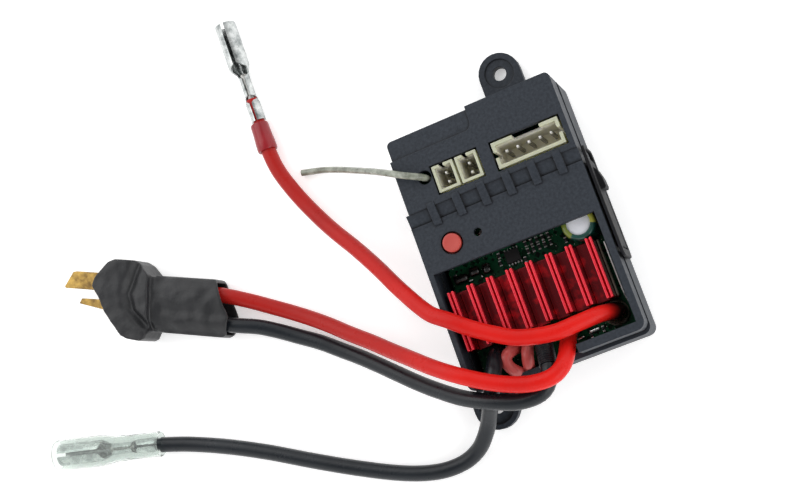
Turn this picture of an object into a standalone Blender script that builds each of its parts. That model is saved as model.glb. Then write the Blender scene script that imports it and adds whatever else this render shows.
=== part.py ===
"""Receiver and speed controller box of a small electric car, with its leads.

The case lies flat with its open heat-sink end towards -Y and its sockets towards +Y. Sizes are
in millimetres until the helpers turn them into metres. Case coordinates have their origin at
the middle of the case's underside; the root empty moves them so that the box, its ears and its
switch are centred on the world origin.
"""
import math

import bmesh
import bpy
from mathutils import Matrix, Vector

MM = 0.001
GAP = 0.3  # clearance between neighbouring pieces
SHARP_ANGLE = math.radians(30)

# Case
CASE_SHIFT = (1.15, -2.25, 0.0)
BASE_LEFT, BASE_RIGHT = -20.0, 19.2
BASE_BOTTOM, BASE_TOP = -28.6, 28.7
BASE_HEIGHT = 10.0
COVER_LEFT, COVER_RIGHT = -19.8, 19.0
COVER_BOTTOM, COVER_TOP = -27.8, 28.6
WALL = 1.5
CORNER, TOP_CORNER = 1.8, 1.1
LOW_DECK = 16.3
HIGH_DECK = 17.5
RIDGE_Y, DECK_Y = 11.6, 7.95  # the sloping band lies between these
RIB_COUNT, RIB_PITCH, RIB_WIDTH, FIRST_RIB = 6, 5.68, 1.75, -14.7
WINDOW_X = (-18.6, 17.45)
WINDOW_Y = (-26.0, -2.0)
LEAD_GAP_X = (-18.6, 4.4)
HIGH_DECK_LEFT = -19.0
HIGH_HOLLOW_X = (-17.3, 17.85)
RECESS_LEFT, RECESS_Y, RECESS_TOP = -18.55, 23.6, 27.9
PANEL_DEPTH = 0.45
SHELF = 12.0  # cuts in the deck start below it here
ABOVE = 30.0

# Screw ears
EAR_HEIGHT = 2.4
EAR_HOLE = 1.55
UPPER_EAR, UPPER_EAR_RADIUS = (7.3, 36.3), 4.65
UPPER_DISH_RADIUS = 3.3
LOWER_EAR, LOWER_EAR_RADIUS = (-18.6, -31.45), 5.0

# Board and what stands on it
BOARD_X, BOARD_Y = (-17.9, 17.1), (-26.4, 26.6)
BOARD_LOW, BOARD_TOP = 4.2, 5.8
SEAT = BOARD_TOP + GAP
SERVO_SOCKET = (2.55, 17.45, 13.25, 19.0)
SOCKET_TOP = 17.7
LIGHT_SOCKETS = ((-11.0, -6.2), (-5.7, -0.9))
LIGHT_SOCKET_Y = (13.45, 19.25)
LIGHT_PIN_Y = (17.35, 15.35)
PIN_HALF = 0.32
BUTTON = (-12.5, 2.9)
LED = (-6.6, 3.0)
ANTENNA_HOLE = (-13.0, 17.8)
CHIPS = (
    ("microcontroller", (-3.5, 3.5), (4.4, 11.4), SEAT + 1.0),
    ("radio_chip", (-9.5, -4.5), (20.6, 25.2), SEAT + 0.9),
)
FIRST_MOSFET, MOSFET_PITCH = -16.6, 8.0

# Heat sink
SINK_X, SINK_Y = (-18.1, 15.3), (-19.5, -6.4)
SINK_Z = (8.5, 9.7, 15.3)
FIN_COUNT, FIN_PITCH, FIRST_FIN, FIN_HALF = 8, 4.43, -16.8, 0.75

# Switch rail on the right wall
RAIL_X, RAIL_Y, RAIL_Z = (19.5, 20.2), (-12.6, 11.9), (4.8, 16.0)
SLOT_Y, SLOT_Z = (-10.8, 11.3), (6.4, 14.6)
SLIDER_Y, SLIDER_Z = (-10.4, 9.0), (6.75, 14.25)
THUMB_X, THUMB_Y, THUMB_Z = 21.3, (2.2, 8.0), (8.4, 12.8)
STEM_Y, STEM_Z = (4.3, 5.9), (7.4, 8.9)
STEM_WAY_Y, SWITCH_SLOT_Y, STEM_WAY_Z = (3.6, 9.0), (3.8, 8.5), (7.0, 9.3)

# Leads
LEAD_RADIUS = 1.75
LINK_RADIUS = 1.3
ANTENNA_RADIUS = 0.75

SLATE = (0.045, 0.055, 0.07)
RED = (0.62, 0.02, 0.02)
BLACK = (0.02, 0.02, 0.022)
NYLON = (0.72, 0.70, 0.60)
TIN = (0.75, 0.75, 0.74)
BRASS = (0.70, 0.50, 0.20)
GREEN = (0.02, 0.18, 0.08)

collections = {}
materials = {}


def clear_scene():
    for thing in list(bpy.data.objects):
        bpy.data.objects.remove(thing, do_unlink=True)


def collection(name, hidden=False):
    if name not in collections:
        made = bpy.data.collections.new(name)
        made.hide_render = hidden
        bpy.context.scene.collection.children.link(made)
        collections[name] = made
    return collections[name]


def finish_of(name, colour, roughness=0.5, metallic=0.0):
    """A plain Principled material, made once for each name."""
    if name not in materials:
        made = bpy.data.materials.new(name)
        made.use_nodes = True
        shader = made.node_tree.nodes["Principled BSDF"]
        shader.inputs["Base Color"].default_value = (*colour, 1)
        shader.inputs["Roughness"].default_value = roughness
        shader.inputs["Metallic"].default_value = metallic
        made.diffuse_color = (*colour, 1)
        materials[name] = made
    return materials[name]


def place(name, mesh, parent=None, centre=(0, 0, 0)):
    """Puts a mesh, whose points are in case coordinates, in the scene with its origin at centre."""
    thing = bpy.data.objects.new(name, mesh)
    collection("speed_controller").objects.link(thing)
    thing.parent = parent or root
    thing.location = Vector(centre) * MM
    if isinstance(mesh, bpy.types.Mesh):
        mesh.transform(Matrix.Translation(-Vector(centre) * MM))
    return thing


def mesh_from(form, name):
    """A mesh with its faces turned out, smooth except at its sharp edges."""
    mesh = bpy.data.meshes.new(name)
    bmesh.ops.recalc_face_normals(form, faces=form.faces)
    form.to_mesh(mesh)
    form.free()
    mesh.shade_smooth()
    mesh.set_sharp_from_angle(angle=SHARP_ANGLE)
    return mesh


def box_mesh(name, x, y, z):
    form = bmesh.new()
    bmesh.ops.create_cube(form, size=1)
    size = Vector((x[1] - x[0], y[1] - y[0], z[1] - z[0]))
    middle = Vector((x[0] + x[1], y[0] + y[1], z[0] + z[1])) / 2
    for corner in form.verts:
        corner.co = (corner.co * size + middle) * MM
    return mesh_from(form, name)


def rod_mesh(name, centre, radius, z, sides=32, radius_top=None):
    form = bmesh.new()
    bmesh.ops.create_cone(
        form,
        cap_ends=True,
        segments=sides,
        radius1=radius * MM,
        radius2=(radius if radius_top is None else radius_top) * MM,
        depth=(z[1] - z[0]) * MM,
    )
    bmesh.ops.translate(form, verts=form.verts, vec=Vector((*centre, (z[0] + z[1]) / 2)) * MM)
    return mesh_from(form, name)


def evaluated_copy(holder):
    """The mesh an object's curve or modifiers give. The object itself is removed."""
    bpy.context.view_layer.update()
    graph = bpy.context.evaluated_depsgraph_get()
    mesh = bpy.data.meshes.new_from_object(holder.evaluated_get(graph))
    bpy.data.objects.remove(holder)
    return mesh


def prism_mesh(name, outline, span, axis="Z"):
    """A flat outline pushed along an axis. It is drawn in (x, y), (y, z) for X or (x, z) for Y."""
    curve = bpy.data.curves.new(name, "CURVE")
    curve.dimensions = "2D"
    curve.fill_mode = "BOTH"
    curve.extrude = (span[1] - span[0]) / 2 * MM
    line = curve.splines.new("POLY")
    line.points.add(len(outline) - 1)
    for point, spot in zip(line.points, outline):
        point.co = (spot[0] * MM, spot[1] * MM, 0, 1)
    line.use_cyclic_u = True
    holder = bpy.data.objects.new(name, curve)
    bpy.context.scene.collection.objects.link(holder)
    mesh = evaluated_copy(holder)
    form = bmesh.new()
    form.from_mesh(mesh)
    bmesh.ops.remove_doubles(form, verts=form.verts, dist=0.00001)
    middle = (span[0] + span[1]) / 2 * MM
    for corner in form.verts:
        u, v, w = corner.co
        corner.co = {
            "X": (w + middle, u, v),
            "Y": (u, w + middle, v),
            "Z": (u, v, w + middle),
        }[axis]
    return mesh_from(form, name)


def corner_arc(x, y, radius, start, steps=5):
    """A quarter circle, anticlockwise from the start angle, about the point (x, y)."""
    points = []
    for step in range(steps + 1):
        angle = math.radians(start + 90 * step / steps)
        points.append((x + radius * math.cos(angle), y + radius * math.sin(angle)))
    return points


def rounded_outline(x, y, radius, steps=5):
    """A rectangle with round corners, anticlockwise."""
    points = corner_arc(x[1] - radius, y[0] + radius, radius, -90, steps)
    points += corner_arc(x[1] - radius, y[1] - radius, radius, 0, steps)
    points += corner_arc(x[0] + radius, y[1] - radius, radius, 90, steps)
    return points + corner_arc(x[0] + radius, y[0] + radius, radius, 180, steps)


def plate_mesh(name, x, y, z, radius=CORNER, steps=5):
    return prism_mesh(name, rounded_outline(x, y, radius, steps), z)


def turned_mesh(name, centre, profile, sides=32):
    """A profile of (radius, z) points, listed top to bottom down its outer side, turned about Z."""
    form = bmesh.new()
    points = [form.verts.new((radius * MM, 0, z * MM)) for radius, z in profile]
    for upper, lower in zip(points, points[1:] + points[:1]):
        form.edges.new((upper, lower))
    mesh = bpy.data.meshes.new(name)
    form.to_mesh(mesh)
    form.free()
    holder = bpy.data.objects.new(name, mesh)
    bpy.context.scene.collection.objects.link(holder)
    turn = holder.modifiers.new("turn", "SCREW")
    turn.steps = sides
    turn.render_steps = sides
    turn.use_merge_vertices = True
    turn.merge_threshold = 0.00001
    made = evaluated_copy(holder)
    form = bmesh.new()
    form.from_mesh(made)
    bmesh.ops.translate(form, verts=form.verts, vec=Vector((*centre, 0)) * MM)
    return mesh_from(form, name)


def boolean(thing, mesh, operation):
    """Cuts the mesh from the object, or joins it, and keeps the cutter hidden."""
    helper = bpy.data.objects.new(mesh.name, mesh)
    collection("cutters", hidden=True).objects.link(helper)
    helper.parent = root
    helper.hide_render = True
    helper.display_type = "WIRE"
    step = thing.modifiers.new(mesh.name, "BOOLEAN")
    step.operation = operation
    step.object = helper


def cut(thing, *meshes):
    for mesh in meshes:
        boolean(thing, mesh, "DIFFERENCE")


def join(thing, *meshes):
    for mesh in meshes:
        boolean(thing, mesh, "UNION")


def piece(name, mesh, finish, centre=(0, 0, 0), parent=None):
    thing = place(name, mesh, parent, centre)
    thing.data.materials.append(finish)
    return thing


def smooth_route(points, spacing):
    """Evenly spaced points, in order, on a smooth curve through the given ones."""
    route = [Vector(point) for point in points]
    ends = [2 * route[0] - route[1], *route, 2 * route[-1] - route[-2]]
    fine = []
    for before, start, stop, after in zip(ends, ends[1:], ends[2:], ends[3:]):
        for step in range(12):
            t = step / 12
            fine.append(
                0.5
                * (
                    2 * start
                    + (stop - before) * t
                    + (2 * before - 5 * start + 4 * stop - after) * t * t
                    + (3 * start - before - 3 * stop + after) * t**3
                )
            )
    fine.append(route[-1])
    total = sum((b - a).length for a, b in zip(fine, fine[1:]))
    count = max(6, round(total / spacing))
    even, walked, target = [fine[0]], 0.0, total / count
    for a, b in zip(fine, fine[1:]):
        length = (b - a).length
        while walked + length >= target and len(even) < count:
            even.append(a.lerp(b, (target - walked) / length))
            target += total / count
        walked += length
    even.append(fine[-1])
    return even


def tube(name, points, radius, finish):
    """A plain round lead along a smooth route."""
    route = smooth_route(points, radius * 5)
    curve = bpy.data.curves.new(name, "CURVE")
    curve.dimensions = "3D"
    curve.bevel_depth = radius * MM
    curve.bevel_resolution = 2
    curve.use_fill_caps = True
    line = curve.splines.new("POLY")
    line.points.add(len(route) - 1)
    for point, spot in zip(line.points, route):
        point.co = (*(spot * MM), 1)
    curve.materials.append(finish)
    return place(name, curve)


def ear_mesh(name, centre, radius, case_y):
    """A round screw ear whose sides run back into the case."""
    cx, cy = centre
    away = 1 if cy > case_y else -1
    points = []
    for angle in range(0, 181, 15):
        turn = math.radians(angle)
        points.append((cx + radius * math.cos(turn), cy + away * radius * math.sin(turn)))
    points.append((cx - radius, case_y))
    points.append((cx + radius, case_y))
    return prism_mesh(name, points, (0, EAR_HEIGHT))


def base_shell():
    slate = finish_of("slate_plastic", SLATE, 0.6)
    outside_x, outside_y = (BASE_LEFT, BASE_RIGHT), (BASE_BOTTOM, BASE_TOP)
    base = piece("base_shell", plate_mesh("base_shell", outside_x, outside_y, (0, BASE_HEIGHT)), slate)
    inside_x = (BASE_LEFT + WALL, BASE_RIGHT - WALL)
    inside_y = (BASE_BOTTOM + WALL, BASE_TOP - WALL)
    cut(base, box_mesh("base_hollow", inside_x, inside_y, (WALL, BASE_HEIGHT + 1)))
    join(
        base,
        ear_mesh("upper_ear", UPPER_EAR, UPPER_EAR_RADIUS, BASE_TOP - WALL / 2),
        ear_mesh("lower_ear", LOWER_EAR, LOWER_EAR_RADIUS, BASE_BOTTOM + WALL / 2),
    )
    for number, spot in enumerate(SCREWS):
        join(base, rod_mesh(f"screw_post_{number}", spot, 2.4, (WALL / 2, BASE_HEIGHT - 0.2), 20))
        cut(
            base,
            rod_mesh(f"screw_way_{number}", spot, 1.3, (-1, BASE_HEIGHT + 1), 16),
            rod_mesh(f"screw_seat_{number}", spot, 2.0, (-1, 1.6), 16),
        )
    for number, spot in enumerate(BOARD_POSTS):
        join(base, rod_mesh(f"board_post_{number}", spot, 1.6, (WALL / 2, BOARD_LOW - GAP), 12))
    cut(
        base,
        rod_mesh("upper_ear_hole", UPPER_EAR, EAR_HOLE, (-1, EAR_HEIGHT + 1), 24),
        rod_mesh("lower_ear_hole", LOWER_EAR, EAR_HOLE, (-1, EAR_HEIGHT + 1), 24),
        rod_mesh("upper_ear_dish", UPPER_EAR, UPPER_DISH_RADIUS, (EAR_HEIGHT - 0.3, ABOVE), 32),
        rod_mesh("lower_ear_dish", LOWER_EAR, LOWER_EAR_RADIUS - 1.1, (1.4, ABOVE), 32),
        box_mesh("stem_way", (inside_x[1] - 1, BASE_RIGHT + 1), STEM_WAY_Y, STEM_WAY_Z),
    )
    return base


def slope_at(y):
    """Height of the band between the two decks."""
    share = (y - DECK_Y) / (RIDGE_Y - DECK_Y)
    return LOW_DECK + share * (HIGH_DECK - LOW_DECK)


def cover_body():
    """The outer form of the cover: a stepped profile across the case, trimmed to round corners."""
    low = BASE_HEIGHT + GAP
    profile = [
        (COVER_BOTTOM, low),
        (COVER_TOP, low),
        (COVER_TOP, HIGH_DECK),
        (RIDGE_Y, HIGH_DECK),
        (DECK_Y, LOW_DECK),
        (COVER_BOTTOM, LOW_DECK),
    ]
    cover = piece(
        "top_cover",
        prism_mesh("top_cover", profile, (COVER_LEFT, COVER_RIGHT), "X"),
        finish_of("slate_plastic", SLATE, 0.6),
    )
    plan = corner_arc(COVER_RIGHT - CORNER, COVER_BOTTOM + CORNER, CORNER, -90)
    plan += corner_arc(COVER_RIGHT - TOP_CORNER, COVER_TOP - TOP_CORNER, TOP_CORNER, 0)
    plan += corner_arc(HIGH_DECK_LEFT + TOP_CORNER, COVER_TOP - TOP_CORNER, TOP_CORNER, 90)
    plan += [(HIGH_DECK_LEFT, RIDGE_Y), (COVER_LEFT, RIDGE_Y)]
    plan += corner_arc(COVER_LEFT + CORNER, COVER_BOTTOM + CORNER, CORNER, 180)
    boolean(cover, prism_mesh("cover_plan", plan, (low - 1, HIGH_DECK + 1)), "INTERSECT")
    return cover


def cut_band(cover):
    """Shallow panels between the ribs of the sloping band."""
    foot = DECK_Y + 0.7
    profile = [
        (RIDGE_Y, slope_at(RIDGE_Y) - PANEL_DEPTH),
        (RIDGE_Y, HIGH_DECK + 1),
        (foot, HIGH_DECK + 1),
        (foot, slope_at(foot) - PANEL_DEPTH),
    ]
    starts = [COVER_LEFT - 1] + [FIRST_RIB + RIB_WIDTH + RIB_PITCH * k for k in range(RIB_COUNT)]
    stops = [FIRST_RIB + RIB_PITCH * k for k in range(RIB_COUNT)] + [COVER_RIGHT + 1]
    for number, span in enumerate(zip(starts, stops)):
        cut(cover, prism_mesh(f"band_panel_{number}", profile, span, "X"))


def widened(low, high, margin):
    return (low - margin, high + margin)


def top_cover():
    cover = cover_body()
    cut_band(cover)
    beyond_left, beyond_top = COVER_LEFT - 1, COVER_TOP + 1
    recess = [(beyond_left, RECESS_Y), *corner_arc(-1.6, RECESS_Y + 1.6, 1.6, -90)]
    recess += [(0, beyond_top), (beyond_left, beyond_top)]
    inner = corner_arc(RECESS_LEFT + TOP_CORNER, RECESS_TOP - TOP_CORNER, TOP_CORNER, 90)
    edge = [(beyond_left, RECESS_Y), (RECESS_LEFT, RECESS_Y), *inner[::-1]]
    edge += [(0.1, RECESS_TOP), (0.1, beyond_top), (beyond_left, beyond_top)]
    cut(
        cover,
        prism_mesh("label_recess", recess, (HIGH_DECK - 0.3, ABOVE)),
        prism_mesh("recess_edge", edge, (SHELF, ABOVE)),
        box_mesh("low_hollow", WINDOW_X, (WINDOW_Y[0], RIDGE_Y - 1), (0, LOW_DECK - WALL)),
        box_mesh("high_hollow", HIGH_HOLLOW_X, (RIDGE_Y - 2, COVER_TOP - WALL), (0, HIGH_DECK - WALL)),
        box_mesh("window", WINDOW_X, WINDOW_Y, (LOW_DECK - 3, ABOVE)),
        box_mesh("lead_way", LEAD_GAP_X, (COVER_BOTTOM - 1, WINDOW_Y[0] + 1), (0, ABOVE)),
    )
    for number, spot in enumerate(SCREWS):
        post = (BASE_HEIGHT + GAP, HIGH_DECK - 0.8)
        join(cover, rod_mesh(f"cover_post_{number}", spot, 2.2, post, 20))
        cut(cover, rod_mesh(f"cover_bore_{number}", spot, 1.3, (BASE_HEIGHT - 1, 14.9), 16))
    left, right, low, high = SERVO_SOCKET
    servo_x, servo_y = widened(left, right, 0.4), widened(low, high, 0.4)
    light_x = widened(LIGHT_SOCKETS[0][0], LIGHT_SOCKETS[1][1], 0.35)
    cut(
        cover,
        box_mesh("servo_opening", servo_x, servo_y, (SHELF, ABOVE)),
        box_mesh("light_opening", light_x, widened(*LIGHT_SOCKET_Y, 0.35), (SHELF, ABOVE)),
        rod_mesh("antenna_hole", ANTENNA_HOLE, 1.5, (SHELF, ABOVE), 16),
        rod_mesh("button_hole", BUTTON, 2.4, (SHELF, ABOVE), 32),
        rod_mesh("led_hole", LED, 0.9, (SHELF, ABOVE), 16),
    )


def side_switch():
    slate = finish_of("switch_plastic", (0.03, 0.03, 0.035), 0.5)
    arch = rounded_outline(RAIL_Y, RAIL_Z, 1.5, 4)
    rail = piece("side_rail", prism_mesh("side_rail", arch, RAIL_X, "X"), slate)
    slot = rounded_outline(SLOT_Y, SLOT_Z, 0.8, 3)
    cut(rail, prism_mesh("rail_slot", slot, (RAIL_X[0] - 1, RAIL_X[1] + 1), "X"))

    middle = (RAIL_X[0], sum(STEM_Y) / 2, sum(STEM_Z) / 2)
    blade = rounded_outline(SLIDER_Y, SLIDER_Z, 0.7, 3)
    blade_mesh = prism_mesh("power_slider", blade, (RAIL_X[0], RAIL_X[1] - 0.1), "X")
    slider = piece("power_slider", blade_mesh, slate, middle)
    top = RAIL_X[1] - 0.6
    thumb = [
        (THUMB_Y[0], top),
        (THUMB_Y[0], THUMB_X - 0.25),
        (THUMB_Y[0] + 0.4, THUMB_X),
        (THUMB_Y[0] + 2.2, THUMB_X - 0.1),
        (THUMB_Y[1] - 1.6, RAIL_X[1] + 0.55),
        (THUMB_Y[1], top),
    ]
    pad = prism_mesh("thumb_pad", [(x, y) for y, x in thumb], THUMB_Z)
    join(slider, pad, box_mesh("slider_stem", (14.0, RAIL_X[0] + 0.4), STEM_Y, STEM_Z))

    switch = piece(
        "slide_switch",
        box_mesh("slide_switch", (12.9, 16.9), (2.4, 10.3), (SEAT, 9.9)),
        finish_of("switch_can", TIN, 0.35, 0.8),
    )
    cut(switch, box_mesh("switch_slot", (13.4, 18), SWITCH_SLOT_Y, STEM_WAY_Z))


def board():
    green = finish_of("board_green", GREEN, 0.4)
    plate = plate_mesh("circuit_board", BOARD_X, BOARD_Y, (BOARD_LOW, BOARD_TOP), 0.8, 2)
    made = piece("circuit_board", plate, green)
    for number, spot in enumerate(SCREWS):
        cut(made, rod_mesh(f"board_relief_{number}", spot, 2.9, (0, 10), 20))
    dark = finish_of("chip_black", BLACK, 0.45)
    for name, x, y, top in CHIPS:
        piece(name, box_mesh(name, x, y, (SEAT, top)), dark)
    piece(
        "crystal",
        box_mesh("crystal", (-3.0, 0.2), (21.5, 24.0), (SEAT, SEAT + 0.8)),
        finish_of("crystal_can", TIN, 0.3, 0.9),
    )
    for number in range(4):
        name, left = f"mosfet_{number + 1}", FIRST_MOSFET + MOSFET_PITCH * number
        piece(name, box_mesh(name, (left, left + 6.2), (-16.2, -9.7), (SEAT, 7.4)), dark)


def heat_sink():
    left, right = SINK_X
    low, plate, top = SINK_Z
    outline = [(left, low), (right, low), (right, plate)]
    for number in reversed(range(FIN_COUNT)):
        middle = FIRST_FIN + FIN_PITCH * number
        for side in (1, -1):
            outer, inner = middle + side * FIN_HALF, middle + side * 0.2
            wall = [(outer, plate), (outer, top), (inner, top), (inner, top - 1.3)]
            outline += wall if side > 0 else wall[::-1]
    outline.append((left, plate))
    piece(
        "heat_sink",
        prism_mesh("heat_sink", outline, SINK_Y, "Y"),
        finish_of("red_anodised", (0.7, 0.01, 0.02), 0.3, 0.9),
    )
    piece(
        "thermal_pad",
        box_mesh("thermal_pad", (left + 0.8, right - 0.6), (SINK_Y[0] + 1, SINK_Y[1] - 1), (7.7, 8.2)),
        finish_of("thermal_grey", (0.4, 0.42, 0.45), 0.8),
    )


def capacitor():
    centre = (13.2, -2.6)
    piece(
        "capacitor_can",
        rod_mesh("capacitor_can", centre, 3.1, (6.8, 13.1), 32),
        finish_of("can_aluminium", TIN, 0.3, 0.9),
    )
    profile = [
        (3.65, 13.5),
        (3.65, SEAT),
        (3.4, SEAT),
        (3.4, 13.4),
        (2.5, 13.4),
        (2.5, 13.7),
        (3.5, 13.7),
    ]
    piece(
        "capacitor_sleeve",
        turned_mesh("capacitor_sleeve", centre, profile, 32),
        finish_of("sleeve_green", (0.02, 0.25, 0.15), 0.4),
    )


def open_socket(name, x, y, wall):
    """A plain pin header housing, open at the top."""
    nylon = finish_of("nylon", NYLON, 0.4)
    made = piece(name, box_mesh(name, x, y, (SEAT, SOCKET_TOP)), nylon)
    inside_x, inside_y = (x[0] + wall, x[1] - wall), (y[0] + wall, y[1] - wall)
    cut(made, box_mesh(f"{name}_hollow", inside_x, inside_y, (8.6, SOCKET_TOP + 1)))
    return made


def pin(name, x, y):
    piece(
        name,
        box_mesh(name, (x - PIN_HALF, x + PIN_HALF), (y - PIN_HALF, y + PIN_HALF), (8.6 + GAP, 16.2)),
        finish_of("tin", TIN, 0.25, 1.0),
    )


def sockets():
    left, right, low, high = SERVO_SOCKET
    servo = open_socket("servo_socket", (left, right), (low, high), 0.75)
    cut(
        servo,
        box_mesh("servo_long_notch", (left + 4.8, left + 10.8), (high - 1.2, high + 1), (14.2, 20)),
        box_mesh("servo_end_notch", (left - 1, left + 1.2), (low + 2.4, low + 3.6), (13.0, 20)),
        box_mesh("servo_far_notch", (right - 1.2, right + 1), (low + 2.4, low + 3.6), (13.0, 20)),
    )
    middle = (left + right) / 2
    for number in range(5):
        pin(f"servo_pin_{number + 1}", middle + 2.5 * (number - 2), low + 3.4)
    for number, (near, far) in enumerate(LIGHT_SOCKETS):
        socket = open_socket(f"light_socket_{number + 1}", (near, far), LIGHT_SOCKET_Y, 0.6)
        notch_x, notch_y = (near + 1.7, near + 2.6), widened(LIGHT_SOCKET_Y[1], LIGHT_SOCKET_Y[1], 1)
        cut(socket, box_mesh(f"light_notch_{number}", notch_x, notch_y, (13.5, 20)))
        for row, y in enumerate(LIGHT_PIN_Y):
            pin(f"light_pin_{2 * number + row + 1}", (near + far) / 2, y)


def button_and_led():
    profile = [
        (1.75, 16.9),
        (2.0, 16.65),
        (2.0, 14.1),
        (2.8, 14.1),
        (2.8, 13.1),
        (2.0, 13.1),
        (2.0, 10.3),
        (0, 10.3),
        (0, 16.9),
    ]
    cap = turned_mesh("setup_button", BUTTON, profile, 32)
    piece("setup_button", cap, finish_of("button_red", (0.55, 0.04, 0.03), 0.45), (*BUTTON, 14.0))
    x, y = BUTTON
    tact = piece(
        "button_switch",
        box_mesh("button_switch", (x - 3, x + 3), (y - 3, y + 3), (SEAT, 9.2)),
        finish_of("chip_black", BLACK, 0.45),
    )
    join(tact, rod_mesh("button_plunger", BUTTON, 1.7, (9.0, 9.6), 20))
    lens = rod_mesh("status_led", LED, 1.4, (SEAT, 12.0), 20, 1.2)
    piece("status_led", lens, finish_of("led_clear", (0.8, 0.8, 0.8), 0.15))


def screws():
    steel = finish_of("screw_steel", (0.35, 0.35, 0.36), 0.35, 1.0)
    for number, spot in enumerate(SCREWS):
        name = f"case_screw_{number + 1}"
        screw = piece(name, rod_mesh(name, spot, 1.7, (0.2, 1.3), 20), steel)
        join(screw, rod_mesh(f"screw_shank_{number}", spot, 1.0, (1.0, 14.5), 12))


def leads():
    red = finish_of("silicone_red", RED, 0.45)
    black = finish_of("silicone_black", BLACK, 0.45)
    tube("motor_wire_red", MOTOR_RED_ROUTE, LEAD_RADIUS, red)
    tube("battery_wire_red", BATTERY_RED_ROUTE, LEAD_RADIUS, red)
    tube("battery_wire_black", BATTERY_BLACK_ROUTE, LEAD_RADIUS, black)
    tube("motor_wire_black", MOTOR_BLACK_ROUTE, LEAD_RADIUS, black)
    jacket = finish_of("antenna_jacket", (0.45, 0.5, 0.42), 0.3)
    tube("antenna_wire", ANTENNA_ROUTE, ANTENNA_RADIUS, jacket)
    pink = finish_of("silicone_pink", (0.6, 0.1, 0.1), 0.45)
    tube("link_wire_1", LINK_ROUTE_1, LINK_RADIUS, pink)
    tube("link_wire_2", LINK_ROUTE_2, LINK_RADIUS, pink)


def plug_spot(u, v):
    """Case coordinates of a point u along the battery plug, towards its leads, and v across it."""
    ux, uy = math.cos(PLUG_ANGLE), math.sin(PLUG_ANGLE)
    return (PLUG_JOINT[0] + u * ux - v * uy, PLUG_JOINT[1] + u * uy + v * ux)


def plug_piece(name, outline, span, finish):
    return piece(name, prism_mesh(name, [plug_spot(u, v) for u, v in outline], span), finish)


def battery_plug():
    """The T plug under its heat-shrink: housing, two crossed blades and the sleeve over the leads."""
    shrink = finish_of("shrink_black", (0.045, 0.045, 0.048), 0.5)
    brass = finish_of("blade_brass", BRASS, 0.3, 1.0)
    plug_piece("t_plug_body", PLUG_HOUSING, (0.0, 9.0), shrink)
    plug_piece("t_plug_blade_flat", FLAT_BLADE, (4.6, 5.7), brass)
    plug_piece("t_plug_blade_upright", UPRIGHT_BLADE, (2.2, 6.8), brass)
    sleeve = plug_piece("plug_sleeve", SLEEVE_OUTLINE, (0.3, 7.9), shrink)
    mouth = [plug_spot(u, v) for u, v in SLEEVE_MOUTH]
    cut(sleeve, prism_mesh("sleeve_mouth", mouth, (1.1, 7.1)))


def terminal(name, tip, angle, height):
    """A tin-plated receptacle: slotted barrel, neck and crimp, pointing along angle from its tip."""
    tin = finish_of("tin", TIN, 0.25, 1.0)
    barrel_length, neck_end, crimp_end = 10.8, 14.6, 24.6
    sections = [
        rod_mesh(f"{name}_barrel", (0, 0), 2.5, (0, barrel_length), 24),
        box_mesh(f"{name}_neck", (-1.5, 1.5), (-2.4, -1.2), (barrel_length - 0.5, neck_end + 0.5)),
        rod_mesh(f"{name}_crimp", (0, -1.0), 1.45, (neck_end, crimp_end), 16),
    ]
    cutters = [
        rod_mesh(f"{name}_bore", (0, 0), 2.05, (-1, barrel_length + 1), 24),
        box_mesh(f"{name}_slot", (-0.45, 0.45), (0, 4), (-1, barrel_length + 0.2)),
    ]
    # Local Z runs along the lead and local Y points up.
    turn = Matrix.Rotation(angle, 4, "Z") @ Matrix.Rotation(math.radians(90), 4, "X")
    stand = Matrix.Translation(Vector((*tip, height)) * MM)
    for mesh in sections + cutters:
        mesh.transform(stand @ turn)
    made = piece(name, sections[0], tin)
    cut(made, *cutters)
    join(made, *sections[1:])
    return made


def tube_between(name, start, stop, outer, inner, finish, sides=24):
    """A straight sleeve, bored through when inner is not zero."""
    start, stop = Vector(start), Vector(stop)
    length = (stop - start).length
    turn = (stop - start).to_track_quat("Z", "Y").to_matrix().to_4x4()
    shift = Matrix.Translation(start * MM)
    body = rod_mesh(name, (0, 0), outer, (0, length), sides)
    body.transform(shift @ turn)
    made = piece(name, body, finish)
    if inner:
        bore = rod_mesh(f"{name}_bore", (0, 0), inner, (-1, length + 1), sides)
        bore.transform(shift @ turn)
        cut(made, bore)
    return made


def motor_terminals():
    terminal("motor_terminal_red", RED_TIP, 0.0, RED_HEIGHT)
    terminal("motor_terminal_black", BLACK_TIP, BLACK_ANGLE, BLACK_HEIGHT)
    x, y, z = MOTOR_RED_ROUTE[-1]
    ends = (x, y - 6.8, z), (x, y - 0.2, z)
    red = finish_of("sleeve_red", (0.35, 0.02, 0.03), 0.4)
    tube_between("terminal_sleeve_red", *ends, 2.4, 2.05, red, 16)
    along = Vector((math.sin(BLACK_ANGLE), -math.cos(BLACK_ANGLE), 0))
    start = Vector((*BLACK_TIP, BLACK_HEIGHT)) - along * 0.8
    clear = finish_of("sleeve_clear", (0.8, 0.85, 0.82), 0.1)
    tube_between("terminal_sleeve_clear", start, start + along * 26.5, 3.6, 3.2, clear, 20)


SCREWS = ((-14.6, 24.4), (14.9, 24.4))
BOARD_POSTS = ((-15.5, -23.8), (14.5, -24.2), (-15.5, 14.0), (15.0, 12.0))

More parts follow.
